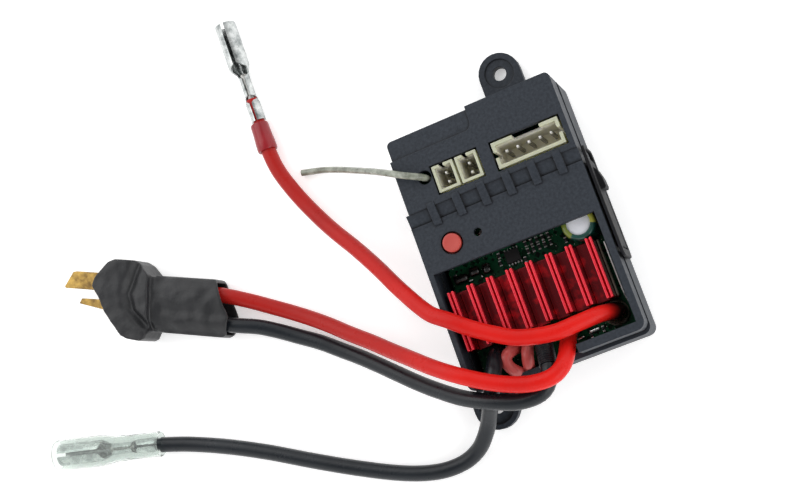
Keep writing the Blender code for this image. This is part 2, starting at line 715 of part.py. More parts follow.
PLUG_ANGLE = math.radians(-24.6)
PLUG_JOINT = (-84.95, 17.4)
PLUG_HOUSING = [
    (-1.4, 6.4), (-3.8, 8.7), (-5.6, 9.6), (-10.2, 9.6), (-11.8, 9.0), (-15.2, 4.8), (-15.6, 3.0),
    (-13.8, 0.9), (-11.8, -2.7), (-7.2, -7.8), (-5.6, -8.5), (-2.2, -8.8), (-1.2, -8.2),
    (-0.6, -6.4),
]
FLAT_BLADE = [
    (-15.3, 2.2), (-15.95, 3.0), (-15.55, 4.8), (-14.4, 6.3), (-21.3, 6.3), (-22.3, 6.1),
    (-24.2, 2.5), (-23.9, 2.2),
]
UPRIGHT_BLADE = [(-12.4, -2.3), (-13.7, 0.1), (-18.8, 0.05), (-19.3, -1.2)]
SLEEVE_OUTLINE = [
    (0.0, -6.5), (16.9, -6.6), (18.0, -5.8), (18.6, -2.0), (15.0, 5.6), (14.2, 6.5), (0.0, 6.5),
]
SLEEVE_MOUTH = [(12.0, -5.8), (22.0, -5.8), (22.0, 5.6), (12.0, 5.6)]
RED_TIP = (-48.6, 73.0)
RED_HEIGHT = 2.6
BLACK_TIP = (-120.4, -6.9)
BLACK_HEIGHT = 3.65
BLACK_ANGLE = math.radians(76.6)

MOTOR_RED_ROUTE = [
    (14.0, -22.2, 6.7), (14.0, -22.2, 8.8), (13.2, -22.0, 11.2), (10.6, -21.8, 13.9),
    (6.2, -22.1, 15.9), (1.0, -22.3, 17.2), (-5.5, -20.9, 18.3), (-10.0, -18.5, 18.5),
    (-14.6, -15.4, 18.5), (-18.5, -12.2, 18.4), (-22.4, -8.9, 17.0), (-27.2, -1.8, 13.6),
    (-30.9, 4.4, 10.2), (-35.0, 10.9, 7.0), (-39.8, 18.0, 4.2), (-43.5, 24.6, 2.7),
    (-46.1, 30.5, 2.45), (-47.9, 36.2, 2.45), (-48.5, 41.5, 2.45), (-48.6, 48.0, 2.45),
]
BATTERY_RED_ROUTE = [
    (3.4, -21.8, 6.7), (3.4, -21.8, 8.8), (3.0, -23.2, 11.2), (2.3, -25.6, 13.7),
    (1.4, -27.9, 15.8), (0.0, -29.6, 17.3), (-2.2, -30.6, 18.1), (-5.4, -30.6, 18.4),
    (-8.8, -29.8, 18.4), (-12.7, -28.2, 18.4), (-16.4, -26.2, 18.4), (-20.0, -23.9, 18.4),
    (-23.0, -21.8, 17.8), (-26.2, -19.4, 16.3), (-30.2, -16.2, 13.6), (-34.6, -12.7, 10.6),
    (-38.9, -9.1, 8.0), (-43.3, -5.6, 5.9), (-47.6, -1.9, 4.2), (-51.9, 1.5, 3.0),
    (-56.1, 4.6, 2.5), (-60.2, 7.5, 2.7), (-64.2, 10.3, 3.2), (-68.4, 13.0, 3.9),
    (-72.2, 15.1, 4.1),
]
BATTERY_BLACK_ROUTE = [
    (-2.8, -21.8, 6.7), (-2.8, -21.8, 8.8), (-2.7, -23.5, 11.0), (-2.6, -26.0, 13.2),
    (-2.9, -29.0, 14.7), (-4.3, -31.8, 15.2), (-6.9, -33.0, 15.3), (-11.0, -32.8, 15.3),
    (-15.1, -31.4, 15.1), (-18.1, -30.1, 14.6), (-22.6, -27.8, 13.0), (-27.2, -24.7, 10.6),
    (-31.4, -21.5, 8.4), (-35.5, -18.0, 6.3), (-39.7, -14.3, 4.4), (-43.8, -10.8, 2.9),
    (-47.9, -7.5, 2.1), (-51.8, -4.3, 1.9), (-56.0, -1.4, 1.9), (-60.0, 1.4, 2.3),
    (-64.0, 3.9, 3.1), (-68.0, 5.7, 3.8), (-71.6, 7.3, 4.1), (-75.0, 8.9, 4.1),
]
MOTOR_BLACK_ROUTE = [
    (-13.2, -21.4, 6.9), (-13.2, -21.5, 8.9), (-13.6, -23.0, 11.4), (-14.5, -25.5, 13.2),
    (-15.8, -28.2, 13.4), (-17.3, -30.6, 11.6), (-18.9, -32.4, 9.0), (-20.5, -34.3, 6.6),
    (-22.6, -36.5, 4.6), (-25.4, -38.7, 2.8), (-29.3, -40.2, 2.0), (-34.3, -40.4, 1.9),
    (-39.9, -39.2, 1.9), (-46.3, -36.7, 1.9), (-54.7, -32.6, 1.9), (-63.1, -28.1, 1.9),
    (-71.5, -23.4, 1.9), (-80.3, -19.0, 1.9), (-89.0, -15.3, 2.1), (-95.8, -13.0, 2.65),
]
ANTENNA_ROUTE = [
    (-12.8, 17.7, 9.0), (-12.8, 17.7, 13.5), (-12.9, 17.7, 16.9), (-14.1, 18.2, 19.1),
    (-16.5, 19.4, 19.3), (-19.7, 21.4, 18.0), (-23.4, 23.8, 14.8), (-28.0, 26.6, 10.2),
    (-33.0, 29.5, 5.8), (-37.2, 31.6, 2.9), (-40.4, 32.8, 1.3), (-43.2, 33.6, 0.85),
]
LINK_ROUTE_1 = [
    (-9.6, -21.4, 6.3), (-9.6, -21.4, 8.2), (-9.9, -22.4, 10.2), (-10.7, -23.9, 10.9),
    (-11.3, -25.1, 9.6), (-11.4, -25.2, 7.0),
]
LINK_ROUTE_2 = [
    (-6.1, -21.4, 6.3), (-6.1, -21.4, 8.2), (-6.4, -22.4, 10.2), (-7.2, -24.0, 10.8),
    (-7.8, -25.1, 9.4), (-7.9, -25.2, 7.0),
]

clear_scene()
root = bpy.data.objects.new("controller_origin", None)
bpy.context.scene.collection.objects.link(root)
root.location = Vector(CASE_SHIFT) * MM
base_shell()
top_cover()
side_switch()
board()
heat_sink()
capacitor()
sockets()
button_and_led()
screws()
leads()
battery_plug()
motor_terminals()
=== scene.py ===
"""The looks of a small car's receiver and speed controller: case, heat sink, sockets and leads."""

import math

import bmesh
import bpy
from mathutils import Matrix, Vector, noise

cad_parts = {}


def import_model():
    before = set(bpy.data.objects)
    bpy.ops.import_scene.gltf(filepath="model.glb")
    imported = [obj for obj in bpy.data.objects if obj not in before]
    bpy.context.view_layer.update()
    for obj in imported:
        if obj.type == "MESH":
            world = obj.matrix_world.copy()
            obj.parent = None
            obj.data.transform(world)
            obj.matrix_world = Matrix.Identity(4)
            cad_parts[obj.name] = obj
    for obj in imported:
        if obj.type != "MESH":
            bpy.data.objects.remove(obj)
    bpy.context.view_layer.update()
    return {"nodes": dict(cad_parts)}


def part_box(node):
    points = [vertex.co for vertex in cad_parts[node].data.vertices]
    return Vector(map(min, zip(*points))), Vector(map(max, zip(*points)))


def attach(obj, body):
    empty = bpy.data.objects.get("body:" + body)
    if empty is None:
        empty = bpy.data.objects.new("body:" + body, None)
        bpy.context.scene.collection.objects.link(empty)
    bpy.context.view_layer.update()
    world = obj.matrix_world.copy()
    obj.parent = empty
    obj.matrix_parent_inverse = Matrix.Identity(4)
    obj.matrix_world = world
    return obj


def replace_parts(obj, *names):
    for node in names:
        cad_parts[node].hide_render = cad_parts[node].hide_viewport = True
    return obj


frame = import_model()

# Lengths below are in millimetres in case coordinates: the origin is the middle of the case's
# underside, +X towards the power slider, +Y towards the sockets, +Z up.
MM = 0.001
CASE_SHIFT = Vector((1.15, -2.25, 0.0))
TO_WORLD = Matrix.Scale(MM, 4) @ Matrix.Translation(CASE_SHIFT)


def world(point):
    return TO_WORLD @ Vector(point)


# ---------------------------------------------------------------- camera

# The place is in world metres, the turn in degrees, and the lens and its sensor in millimetres.
CAMERA_AT = (0.05207, -0.05056, 0.30841)
CAMERA_TURN = (4.79288, 16.8654, -20.16752)
LENS, SENSOR = 65.25, 36

camera_data = bpy.data.cameras.new("camera")
camera_data.lens = LENS
camera_data.sensor_width = SENSOR
camera_data.clip_start = 0.005
camera = bpy.data.objects.new("camera", camera_data)
camera.location = CAMERA_AT
camera.rotation_euler = [math.radians(angle) for angle in CAMERA_TURN]
bpy.context.scene.collection.objects.link(camera)
bpy.context.scene.camera = camera


# ---------------------------------------------------------------- materials

class Nodes:
    """A short way to write a node tree."""

    def __init__(self, name):
        self.material = bpy.data.materials.new(name)
        self.material.use_nodes = True
        self.tree = self.material.node_tree
        self.shader = self.tree.nodes["Principled BSDF"]
        self.place = self.add("ShaderNodeTexCoord").outputs["Object"]

    def add(self, kind, links=None, **settings):
        node = self.tree.nodes.new(kind)
        for key, value in settings.items():
            setattr(node, key, value)
        for key, value in (links or {}).items():
            self.feed(node.inputs[key], value)
        return node

    def feed(self, socket, value):
        if isinstance(value, bpy.types.NodeSocket):
            self.tree.links.new(value, socket)
        else:
            socket.default_value = value

    def math(self, operation, first, second=0.0):
        return self.add("ShaderNodeMath", {0: first, 1: second}, operation=operation).outputs[0]

    def along(self, axis):
        return self.add("ShaderNodeSeparateXYZ", {"Vector": self.place}).outputs[axis]

    def noise(self, scale, detail=3.0, rough=0.55, at=None):
        links = {"Vector": at or self.place, "Scale": scale, "Detail": detail, "Roughness": rough}
        return self.add("ShaderNodeTexNoise", links).outputs["Fac"]

    def stretched(self, scale):
        """Coordinates scaled along each axis, for grain that runs one way."""
        links = {"Vector": self.place, "Scale": scale}
        return self.add("ShaderNodeMapping", links).outputs["Vector"]

    def ramp(self, value, low, high, to_low=0.0, to_high=1.0):
        links = {"Value": value, "From Min": low, "From Max": high}
        links |= {"To Min": to_low, "To Max": to_high}
        return self.add("ShaderNodeMapRange", links).outputs["Result"]

    def mix(self, share, low, high):
        node = self.add("ShaderNodeMix", data_type="RGBA")
        self.feed(node.inputs["Factor"], share)
        self.feed(node.inputs["A"], low if isinstance(low, bpy.types.NodeSocket) else (*low, 1))
        self.feed(node.inputs["B"], high if isinstance(high, bpy.types.NodeSocket) else (*high, 1))
        return node.outputs["Result"]

    def bump(self, height, distance, normal=None):
        links = {"Height": height, "Distance": distance, "Strength": 1.0}
        if normal is not None:
            links["Normal"] = normal
        return self.add("ShaderNodeBump", links).outputs["Normal"]

    def finish(self, **sockets):
        """Feeds the shader's sockets and gives the material."""
        names = {
            "color": "Base Color",
            "rough": "Roughness",
            "metal": "Metallic",
            "normal": "Normal",
            "coat": "Coat Weight",
            "coat_rough": "Coat Roughness",
            "clear": "Transmission Weight",
            "ior": "IOR",
            "under": "Subsurface Weight",
            "specular": "Specular IOR Level",
            "reach": "Subsurface Scale",
        }
        for key, value in sockets.items():
            self.feed(self.shader.inputs[names[key]], value)
        self.shader.inputs["Subsurface Radius"].default_value = (1.0, 1.0, 0.75)
        return self.material


# In world metres: between which places on X a red lead darkens with painted shade, and by what
# share, and below which heights and past which places on X the red motor lead's end gets painted
# shade where it goes down to the board.
FAR_SHADE_FROM_TO = (-0.012, -0.045)
FAR_SHADE_SHARE = 0.75
LEAD_END_SHADE_BELOW = (0.0142, 0.0116)
LEAD_END_SHADE_PAST = (0.0105, 0.0128)
LEAD_END_SHADE = (0.022, 0.006, 0.005)
# The colour of the painted shade in inside corners.
CREASE_SHADE = (0.003, 0.003, 0.004)


def plain_look(
    name, dark, light, rough, grain, depth, metal=0.0, spread=90.0, edge=0.0, crease=0.0,
    far_shade=None, **more
):
    """Two close colours in soft patches, and a fine grain in the bump.

    edge is the radius that sharp edges seem to have, and crease is how far from an inside corner
    the colour darkens with painted shade, both in millimetres. far_shade is the colour that painted
    shade darkens it to away from the case, and with it the red motor lead's end also gets painted
    shade where it goes down to the board.
    """
    nodes = Nodes(name)
    color = nodes.mix(nodes.ramp(nodes.noise(spread), 0.3, 0.7), dark, light)
    if far_shade is not None:
        across, height = nodes.along("X"), nodes.along("Z")
        # Painted shade: a red lead darkens away from the case.
        color = nodes.mix(nodes.ramp(across, *FAR_SHADE_FROM_TO, 0.0, FAR_SHADE_SHARE), color, far_shade)
        # Painted shade on the red motor lead's end, where it goes down to the board.
        low = nodes.ramp(height, *LEAD_END_SHADE_BELOW)
        near = nodes.ramp(across, *LEAD_END_SHADE_PAST)
        color = nodes.mix(nodes.math("MULTIPLY", low, near), color, LEAD_END_SHADE)
    # Painted shade: the colour darkens towards inside corners, by how closed in they are.
    if crease:
        links = {"Distance": crease * MM}
        open_sky = nodes.add("ShaderNodeAmbientOcclusion", links, samples=6).outputs["AO"]
        color = nodes.mix(nodes.ramp(open_sky, 0.45, 0.93), CREASE_SHADE, color)
    fine = nodes.noise(grain, 4.0, 0.65)
    roughness = nodes.ramp(nodes.noise(grain * 0.2), 0.25, 0.75, rough - 0.07, rough + 0.07)
    soft = None
    if edge:
        soft = nodes.add("ShaderNodeBevel", {"Radius": edge * MM}, samples=6).outputs["Normal"]
    normal = nodes.bump(fine, depth, normal=soft)
    return nodes.finish(color=color, rough=roughness, metal=metal, normal=normal, **more)


def streaked_look(name, dark, light, rough, along, depth, metal=1.0, **more):
    """Metal with fine drawing lines; along scales the grain on each axis."""
    nodes = Nodes(name)
    lines = nodes.noise(1.0, 3.0, 0.6, nodes.stretched(along))
    color = nodes.mix(nodes.ramp(lines, 0.3, 0.75), dark, light)
    roughness = nodes.ramp(nodes.noise(500), 0.25, 0.75, rough - 0.06, rough + 0.08)
    normal = nodes.bump(lines, depth)
    return nodes.finish(color=color, rough=roughness, metal=metal, normal=normal, **more)


# World heights in metres: over the first one a fin takes the painted highlight of its top, wholly
# so at the second.
FIN_HIGHLIGHT_HEIGHTS = (0.0134, 0.0145)


def anodised_look():
    """Red dye over drawn metal; painted shade and glint in the channels, painted highlight on the
    fins.
    """
    nodes = Nodes("red_anodised")
    lines = nodes.noise(1.0, 3.0, 0.6, nodes.stretched((3000, 120, 3000)))
    # How far up a fin is, for the painted highlight of its top.
    lit_tops = nodes.ramp(nodes.along("Z"), *FIN_HIGHLIGHT_HEIGHTS)
    # Painted shade down in the channels, flecked with painted glint.
    deep = nodes.mix(lines, (0.13, 0.001, 0.004), (0.3, 0.003, 0.012))
    painted_glints = nodes.ramp(nodes.noise(330, 2.0), 0.52, 0.68)
    deep = nodes.mix(painted_glints, deep, (0.75, 0.008, 0.02))
    # Painted highlight colour for the top of each fin.
    bright = nodes.mix(lines, (0.62, 0.006, 0.018), (0.95, 0.04, 0.07))
    color = nodes.mix(lit_tops, deep, bright)
    metal = nodes.ramp(lit_tops, 0.0, 1.0, 0.95, 0.45)
    normal = nodes.bump(lines, 0.000004)
    return nodes.finish(color=color, rough=0.22, metal=metal, normal=normal, coat=0.5,
                        coat_rough=0.08)


# World heights in metres between which a socket's inside, painted paler as light let in through the
# nylon, turns to its rim.
SOCKET_LIT_INSIDE_TO_RIM = (0.0160, 0.0175)


def nylon_look():
    """Slightly see-through nylon: olive along the rims, and paler down inside with painted light.
    """
    nodes = Nodes("nylon")
    patches = nodes.noise(300)
    rim = nodes.mix(patches, (0.36, 0.37, 0.27), (0.46, 0.47, 0.36))
    # Painted light: paler inside, standing in for light let in through the nylon.
    inside = nodes.mix(patches, (0.80, 0.76, 0.60), (0.94, 0.91, 0.78))
    color = nodes.mix(nodes.ramp(nodes.along("Z"), *SOCKET_LIT_INSIDE_TO_RIM), inside, rim)
    normal = nodes.bump(nodes.noise(1500), 0.00001)
    return nodes.finish(color=color, rough=0.32, normal=normal, ior=1.53, under=0.6, reach=0.002)


def pin_look():
    """Tin plate with a painted highlight on its point and painted shade down the rest of the pin.
    """
    nodes = Nodes("pin_tin")
    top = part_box("servo_pin_1")[1].z
    # Painted highlight on the point, with painted shade below it.
    point = nodes.ramp(nodes.along("Z"), top - 0.8 * MM, top - 0.4 * MM)
    spots = nodes.noise(2500)
    shaded_shank = nodes.mix(spots, (0.12, 0.12, 0.1), (0.22, 0.21, 0.18))
    color = nodes.mix(point, shaded_shank, nodes.mix(spots, (0.9, 0.9, 0.9), (1.0, 1.0, 1.0)))
    return nodes.finish(color=color, rough=0.3, metal=0.35, normal=nodes.bump(spots, 0.00001))


def board_look():
    """Solder mask over copper tracks, with tinned pads."""
    nodes = Nodes("board_green")
    links = {"Vector": nodes.place, "Scale": 760.0, "Randomness": 0.9}
    cells = nodes.add("ShaderNodeTexVoronoi", links, distance="MANHATTAN", feature="F1")
    tracks = nodes.ramp(cells.outputs["Distance"], 0.5, 0.6)
    patches = nodes.ramp(nodes.noise(260), 0.45, 0.6)
    low = nodes.mix(patches, (0.0015, 0.008, 0.004), (0.003, 0.035, 0.014))
    color = nodes.mix(tracks, low, (0.006, 0.085, 0.034))
    links = {"Vector": nodes.place, "Scale": 900.0, "Randomness": 0.6}
    pads = nodes.add("ShaderNodeTexVoronoi", links, feature="F1").outputs["Distance"]
    pad_share = nodes.ramp(pads, 0.1, 0.06)
    color = nodes.mix(pad_share, color, (0.55, 0.56, 0.5))
    normal = nodes.bump(tracks, 0.00004)
    return nodes.finish(color=color, rough=0.4, normal=normal, specular=0.12)


# The capacitor's middle, and its printed stripes: the way each one faces and half its width, in
# radians, and its colour.
CAN = (13.2, -2.6)
STRIPES = ((0.2, 0.52, (0.5, 0.5, 0.07)), (3.4, 0.5, (0.16, 0.2, 0.03)))


def capacitor_look():
    """Green vinyl with a pale stripe down one side and a dull one down the other."""
    nodes = Nodes("sleeve_green")
    middle = world((*CAN, 0))
    x = nodes.math("SUBTRACT", nodes.along("X"), middle.x)
    y = nodes.math("SUBTRACT", nodes.along("Y"), middle.y)
    angle = nodes.math("ARCTAN2", y, x)
    color = nodes.mix(nodes.noise(600), (0.004, 0.045, 0.035), (0.008, 0.085, 0.065))
    for facing, half_width, print_color in STRIPES:
        near = nodes.math("COSINE", nodes.math("SUBTRACT", angle, facing))
        edge = math.cos(half_width)
        color = nodes.mix(nodes.ramp(near, edge - 0.02, edge + 0.02), color, print_color)
    normal = nodes.bump(nodes.noise(900), 0.00003)
    return nodes.finish(color=color, rough=0.22, normal=normal, coat=0.3)


def clear_look():
    """Frosted clear tube, hazier in patches."""
    nodes = Nodes("sleeve_clear")
    normal = nodes.bump(nodes.noise(350), 0.00008)
    haze = nodes.ramp(nodes.noise(200), 0.3, 0.7, 0.1, 0.24)
    tint = nodes.mix(nodes.noise(120), (0.74, 0.8, 0.77), (0.86, 0.9, 0.87))
    return nodes.finish(color=tint, rough=haze, clear=0.9, ior=1.12, normal=normal)


def make_materials():
    return {
        "slate_plastic": plain_look(
            "slate_plastic", (0.013, 0.017, 0.024), (0.026, 0.032, 0.042), 0.55, 2600, 0.00004,
            spread=1600, edge=0.25, crease=0.9, specular=0.3,
        ),
        "switch_plastic": plain_look(
            "switch_plastic", (0.006, 0.006, 0.007), (0.011, 0.011, 0.013), 0.55, 2600, 0.00002,
            specular=0.14,
        ),
        "red_anodised": anodised_look(),
        "board_green": board_look(),
        "chip_black": plain_look(
            "chip_black", (0.012, 0.012, 0.013), (0.022, 0.022, 0.024), 0.4, 5200, 0.000015),
        "nylon": nylon_look(),
        "tin": streaked_look(
            "tin", (0.24, 0.26, 0.26), (0.74, 0.76, 0.75), 0.24, (500, 500, 500), 0.00006),
        "strand_tin": streaked_look(
            "strand_tin", (0.10, 0.10, 0.10), (0.75, 0.74, 0.7), 0.35, (2500, 400, 2500), 0.0002),
        "tan_metal": streaked_look(
            "tan_metal", (0.16, 0.12, 0.08), (0.5, 0.45, 0.38), 0.4, (900, 200, 900), 0.00005, 0.6),
        "coating": plain_look(
            "coating", (0.004, 0.004, 0.004), (0.02, 0.018, 0.015), 0.12, 500, 0.0003, coat=1.0),
        "solder": plain_look(
            "solder", (0.45, 0.45, 0.44), (0.7, 0.7, 0.68), 0.22, 900, 0.00006, metal=1.0),
        # Painted reflection: the can's top is a near-white matte colour standing in for its bright
        # sheen.
        "can_aluminium": plain_look(
            "can_aluminium", (0.86, 0.88, 0.95), (0.97, 0.98, 1.0), 0.5, 3000, 0.00001),
        "pin_tin": pin_look(),
        "pad_tin": plain_look(
            "pad_tin", (0.55, 0.56, 0.55), (0.8, 0.8, 0.78), 0.3, 3000, 0.00001, metal=0.4),
        "sleeve_green": capacitor_look(),
        "button_red": plain_look(
            "button_red", (0.37, 0.045, 0.036), (0.46, 0.060, 0.046), 0.42, 3500, 0.00001),
        "led_clear": plain_look(
            "led_clear", (0.5, 0.52, 0.5), (0.62, 0.62, 0.6), 0.12, 900, 0.00001),
        "screw_steel": streaked_look(
            "screw_steel", (0.16, 0.16, 0.17), (0.3, 0.3, 0.31), 0.34, (900, 900, 900), 0.00002),
        # Painted shade: darker away from the case and at the motor lead's end.
        "silicone_red": plain_look(
            "silicone_red", (0.52, 0.009, 0.007), (0.68, 0.014, 0.010), 0.3, 1400, 0.00005,
            spread=60, far_shade=(0.27, 0.013, 0.010), specular=0.16),
        "silicone_black": plain_look(
            "silicone_black", (0.006, 0.008, 0.011), (0.012, 0.015, 0.019), 0.3, 1400, 0.00005,
            spread=60, specular=0.3),
        "silicone_pink": plain_look(
            "silicone_pink", (0.55, 0.08, 0.075), (0.68, 0.12, 0.11), 0.36, 1600, 0.00004),
        "antenna_jacket": plain_look(
            "antenna_jacket", (0.08, 0.09, 0.06), (0.32, 0.34, 0.28), 0.22, 900, 0.00003,
            spread=420, coat=0.5, coat_rough=0.1),
        "shrink_black": plain_look(
            "shrink_black", (0.012, 0.0125, 0.014), (0.022, 0.0225, 0.0245), 0.42, 750, 0.00012,
            spread=160, specular=0.35),
        "blade_brass": streaked_look(
            "blade_brass", (0.10, 0.055, 0.02), (0.62, 0.40, 0.10), 0.34, (420, 420, 420), 0.00006,
            0.7),
        "sleeve_red": plain_look(
            "sleeve_red", (0.17, 0.006, 0.010), (0.27, 0.012, 0.018), 0.22, 900, 0.00003,
            specular=0.4),
        "thermal_grey": plain_look(
            "thermal_grey", (0.3, 0.32, 0.34), (0.4, 0.42, 0.45), 0.8, 1500, 0.00004),
        "flux_brown": plain_look(
            "flux_brown", (0.06, 0.014, 0.01), (0.16, 0.05, 0.03), 0.2, 700, 0.0001, coat=0.6),
        "sleeve_clear": clear_look(),
    }


materials = make_materials()


# ---------------------------------------------------------------- helpers


def show(name, mesh, finish, body="body", replaces=()):
    """A visible piece made of the mesh, which rides on the body."""
    thing = bpy.data.objects.new(name, mesh)
    bpy.context.scene.collection.objects.link(thing)
    thing.data.materials.clear()
    thing.data.materials.append(materials[finish])
    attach(thing, body)
    if replaces:
        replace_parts(thing, *replaces)
    return thing


def mesh_of(form, name, smooth=35.0, to_world=True):
    """The form as a mesh, with edges sharper than smooth, in degrees, left sharp."""
    if to_world:
        form.transform(TO_WORLD)
    bmesh.ops.recalc_face_normals(form, faces=form.faces)
    mesh = bpy.data.meshes.new(name)
    form.to_mesh(mesh)
    form.free()
    mesh.shade_smooth()
    mesh.set_sharp_from_angle(angle=math.radians(smooth))
    return mesh


def evaluated(thing):
    """The thing's mesh with its modifiers applied. The thing itself is removed."""
    bpy.context.view_layer.update()
    graph = bpy.context.evaluated_depsgraph_get()
    mesh = bpy.data.meshes.new_from_object(thing.evaluated_get(graph))
    bpy.data.objects.remove(thing)
    return mesh


def helper(mesh):
    thing = bpy.data.objects.new("helper", mesh)
    bpy.context.scene.collection.objects.link(thing)
    return thing


# Corners nearer to each other than this, in metres, are one corner.
SAME = 2e-6


def joined_flats(node, flatten=True):
    """A copy of a node's mesh in metres, with its flat faces joined up again."""
    form = bmesh.new()
    form.from_mesh(frame["nodes"][node].data)
    bmesh.ops.remove_doubles(form, verts=form.verts, dist=SAME)
    if flatten:
        bmesh.ops.dissolve_limit(
            form, angle_limit=math.radians(1.0), verts=form.verts, edges=form.edges
        )
    mesh = bpy.data.meshes.new(node)
    form.to_mesh(mesh)
    form.free()
    mesh.shade_smooth()
    mesh.set_sharp_from_angle(angle=math.radians(30))
    return mesh


def faceted(node):
    """A copy of a node's mesh, every face flat. The material's bevel softens its edges."""
    mesh = joined_flats(node, flatten=False)
    mesh.shade_flat()
    return mesh


def even_shading(mesh, sharp):
    """Smooth shading in which the large flat faces stay flat."""
    mesh.shade_smooth()
    mesh.set_sharp_from_angle(angle=math.radians(sharp))
    thing = helper(mesh)
    step = thing.modifiers.new("even", "WEIGHTED_NORMAL")
    step.keep_sharp = True
    step.weight = 100
    return evaluated(thing)


def rounded(mesh, width, segments=2, angle=30.0, cutters=()):
    """Cuts, then rounds the sharp edges. The mesh is in metres and the width in millimetres."""
    thing = helper(mesh)
    tools = [helper(cutter) for cutter in cutters]
    for tool in tools:
        step = thing.modifiers.new("cut", "BOOLEAN")
        step.operation = "DIFFERENCE"
        step.object = tool
    edge = thing.modifiers.new("round", "BEVEL")
    edge.width = width * MM
    edge.segments = segments
    edge.limit_method = "ANGLE"
    edge.angle_limit = math.radians(angle)
    edge.use_clamp_overlap = False
    edge.harden_normals = False
    edge.miter_outer = "MITER_ARC"
    made = evaluated(thing)
    for tool in tools:
        bpy.data.objects.remove(tool)
    return even_shading(made, 50)


def box_form(x, y, z, form=None):
    """A box from its (low, high) along each axis, added to the form if there is one."""
    form = form or bmesh.new()
    made = bmesh.ops.create_cube(form, size=1)["verts"]
    size = Vector((x[1] - x[0], y[1] - y[0], z[1] - z[0]))
    middle = Vector((x[0] + x[1], y[0] + y[1], z[0] + z[1])) / 2
    for corner in made:
        corner.co = corner.co * size + middle
    return form


def rod_form(centre, radius, z, sides):
    """An upright rod from its centre, radius and (low, high)."""
    form = bmesh.new()
    made = bmesh.ops.create_cone(
        form, cap_ends=True, segments=sides, radius1=radius, radius2=radius, depth=z[1] - z[0],
    )["verts"]
    bmesh.ops.translate(form, verts=made, vec=(*centre, (z[0] + z[1]) / 2))
    return form


def turned(profile, centre=(0, 0), sides=48):
    """An open or closed profile of (radius, z) turned about Z."""
    form = bmesh.new()
    rings = []
    for radius, z in profile:
        if radius < 1e-6:
            rings.append([form.verts.new((centre[0], centre[1], z))])
            continue
        ring = []
        for step in range(sides):
            a = math.tau * step / sides
            spot = (centre[0] + radius * math.cos(a), centre[1] + radius * math.sin(a), z)
            ring.append(form.verts.new(spot))
        rings.append(ring)
    for upper, lower in zip(rings, rings[1:]):
        for step in range(sides):
            after = (step + 1) % sides
            if len(upper) == 1:
                form.faces.new((upper[0], lower[step], lower[after]))
            elif len(lower) == 1:
                form.faces.new((upper[step], lower[0], upper[after]))
            else:
                form.faces.new((upper[step], lower[step], lower[after], upper[after]))
    return form


# Steps from each given point of a route to the next.
CURVE_STEPS = 16


def smooth_route(points, spacing):
    """Evenly spaced points, in order, on a smooth curve through the given ones, and its length."""
    route = [Vector(point) for point in points]
    ends = [2 * route[0] - route[1], *route, 2 * route[-1] - route[-2]]
    fine = []
    for before, start, stop, after in zip(ends, ends[1:], ends[2:], ends[3:]):
        for step in range(CURVE_STEPS):
            t = step / CURVE_STEPS
            fine.append(
                0.5
                * (
                    2 * start
                    + (stop - before) * t
                    + (2 * before - 5 * start + 4 * stop - after) * t * t
                    + (3 * start - before - 3 * stop + after) * t**3
                )
            )
    fine.append(route[-1])
    total = sum((b - a).length for a, b in zip(fine, fine[1:]))
    count = max(6, round(total / spacing))
    even, walked, target = [fine[0]], 0.0, total / count
    for a, b in zip(fine, fine[1:]):
        length = (b - a).length
        while walked + length >= target and len(even) < count:
            even.append(a.lerp(b, (target - walked) / length))
            target += total / count
        walked += length
    even.append(fine[-1])
    return even, total


# ---------------------------------------------------------------- leads

# How far apart a lead's points are, and the leads' radii.
LEAD_STEP = 1.0
LEAD_RADIUS = 1.75
LINK_RADIUS = 1.3
ANTENNA_RADIUS = 0.75

MOTOR_RED_ROUTE = [
    (14.0, -22.2, 6.7), (14.0, -22.2, 8.8), (13.2, -22.0, 11.2), (10.6, -21.8, 13.9),
    (6.2, -22.1, 15.9), (1.0, -22.3, 17.2), (-5.5, -20.9, 18.3), (-10.0, -18.5, 18.5),
    (-14.6, -15.4, 18.5), (-18.5, -12.2, 18.4), (-22.4, -8.9, 17.0), (-27.2, -1.8, 13.6),
    (-30.9, 4.4, 10.2), (-35.0, 10.9, 7.0), (-39.8, 18.0, 4.2), (-43.5, 24.6, 2.7),
    (-46.1, 30.5, 2.45), (-47.9, 36.2, 2.45), (-48.5, 41.5, 2.45), (-48.6, 48.0, 2.45),
]
BATTERY_RED_ROUTE = [
    (3.4, -21.8, 6.7), (3.4, -21.8, 8.8), (3.0, -23.2, 11.2), (2.3, -25.6, 13.7),
    (1.4, -27.9, 15.8), (0.0, -29.6, 17.3), (-2.2, -30.6, 18.1), (-5.4, -30.6, 18.4),
    (-8.8, -29.8, 18.4), (-12.7, -28.2, 18.4), (-16.4, -26.2, 18.4), (-20.0, -23.9, 18.4),
    (-23.0, -21.8, 17.8), (-26.2, -19.4, 16.3), (-30.2, -16.2, 13.6), (-34.6, -12.7, 10.6),
    (-38.9, -9.1, 8.0), (-43.3, -5.6, 5.9), (-47.6, -1.9, 4.2), (-51.9, 1.5, 3.0),
    (-56.1, 4.6, 2.5), (-60.2, 7.5, 2.7), (-64.2, 10.3, 3.2), (-68.4, 13.0, 3.9),
    (-72.2, 15.1, 4.1),
]
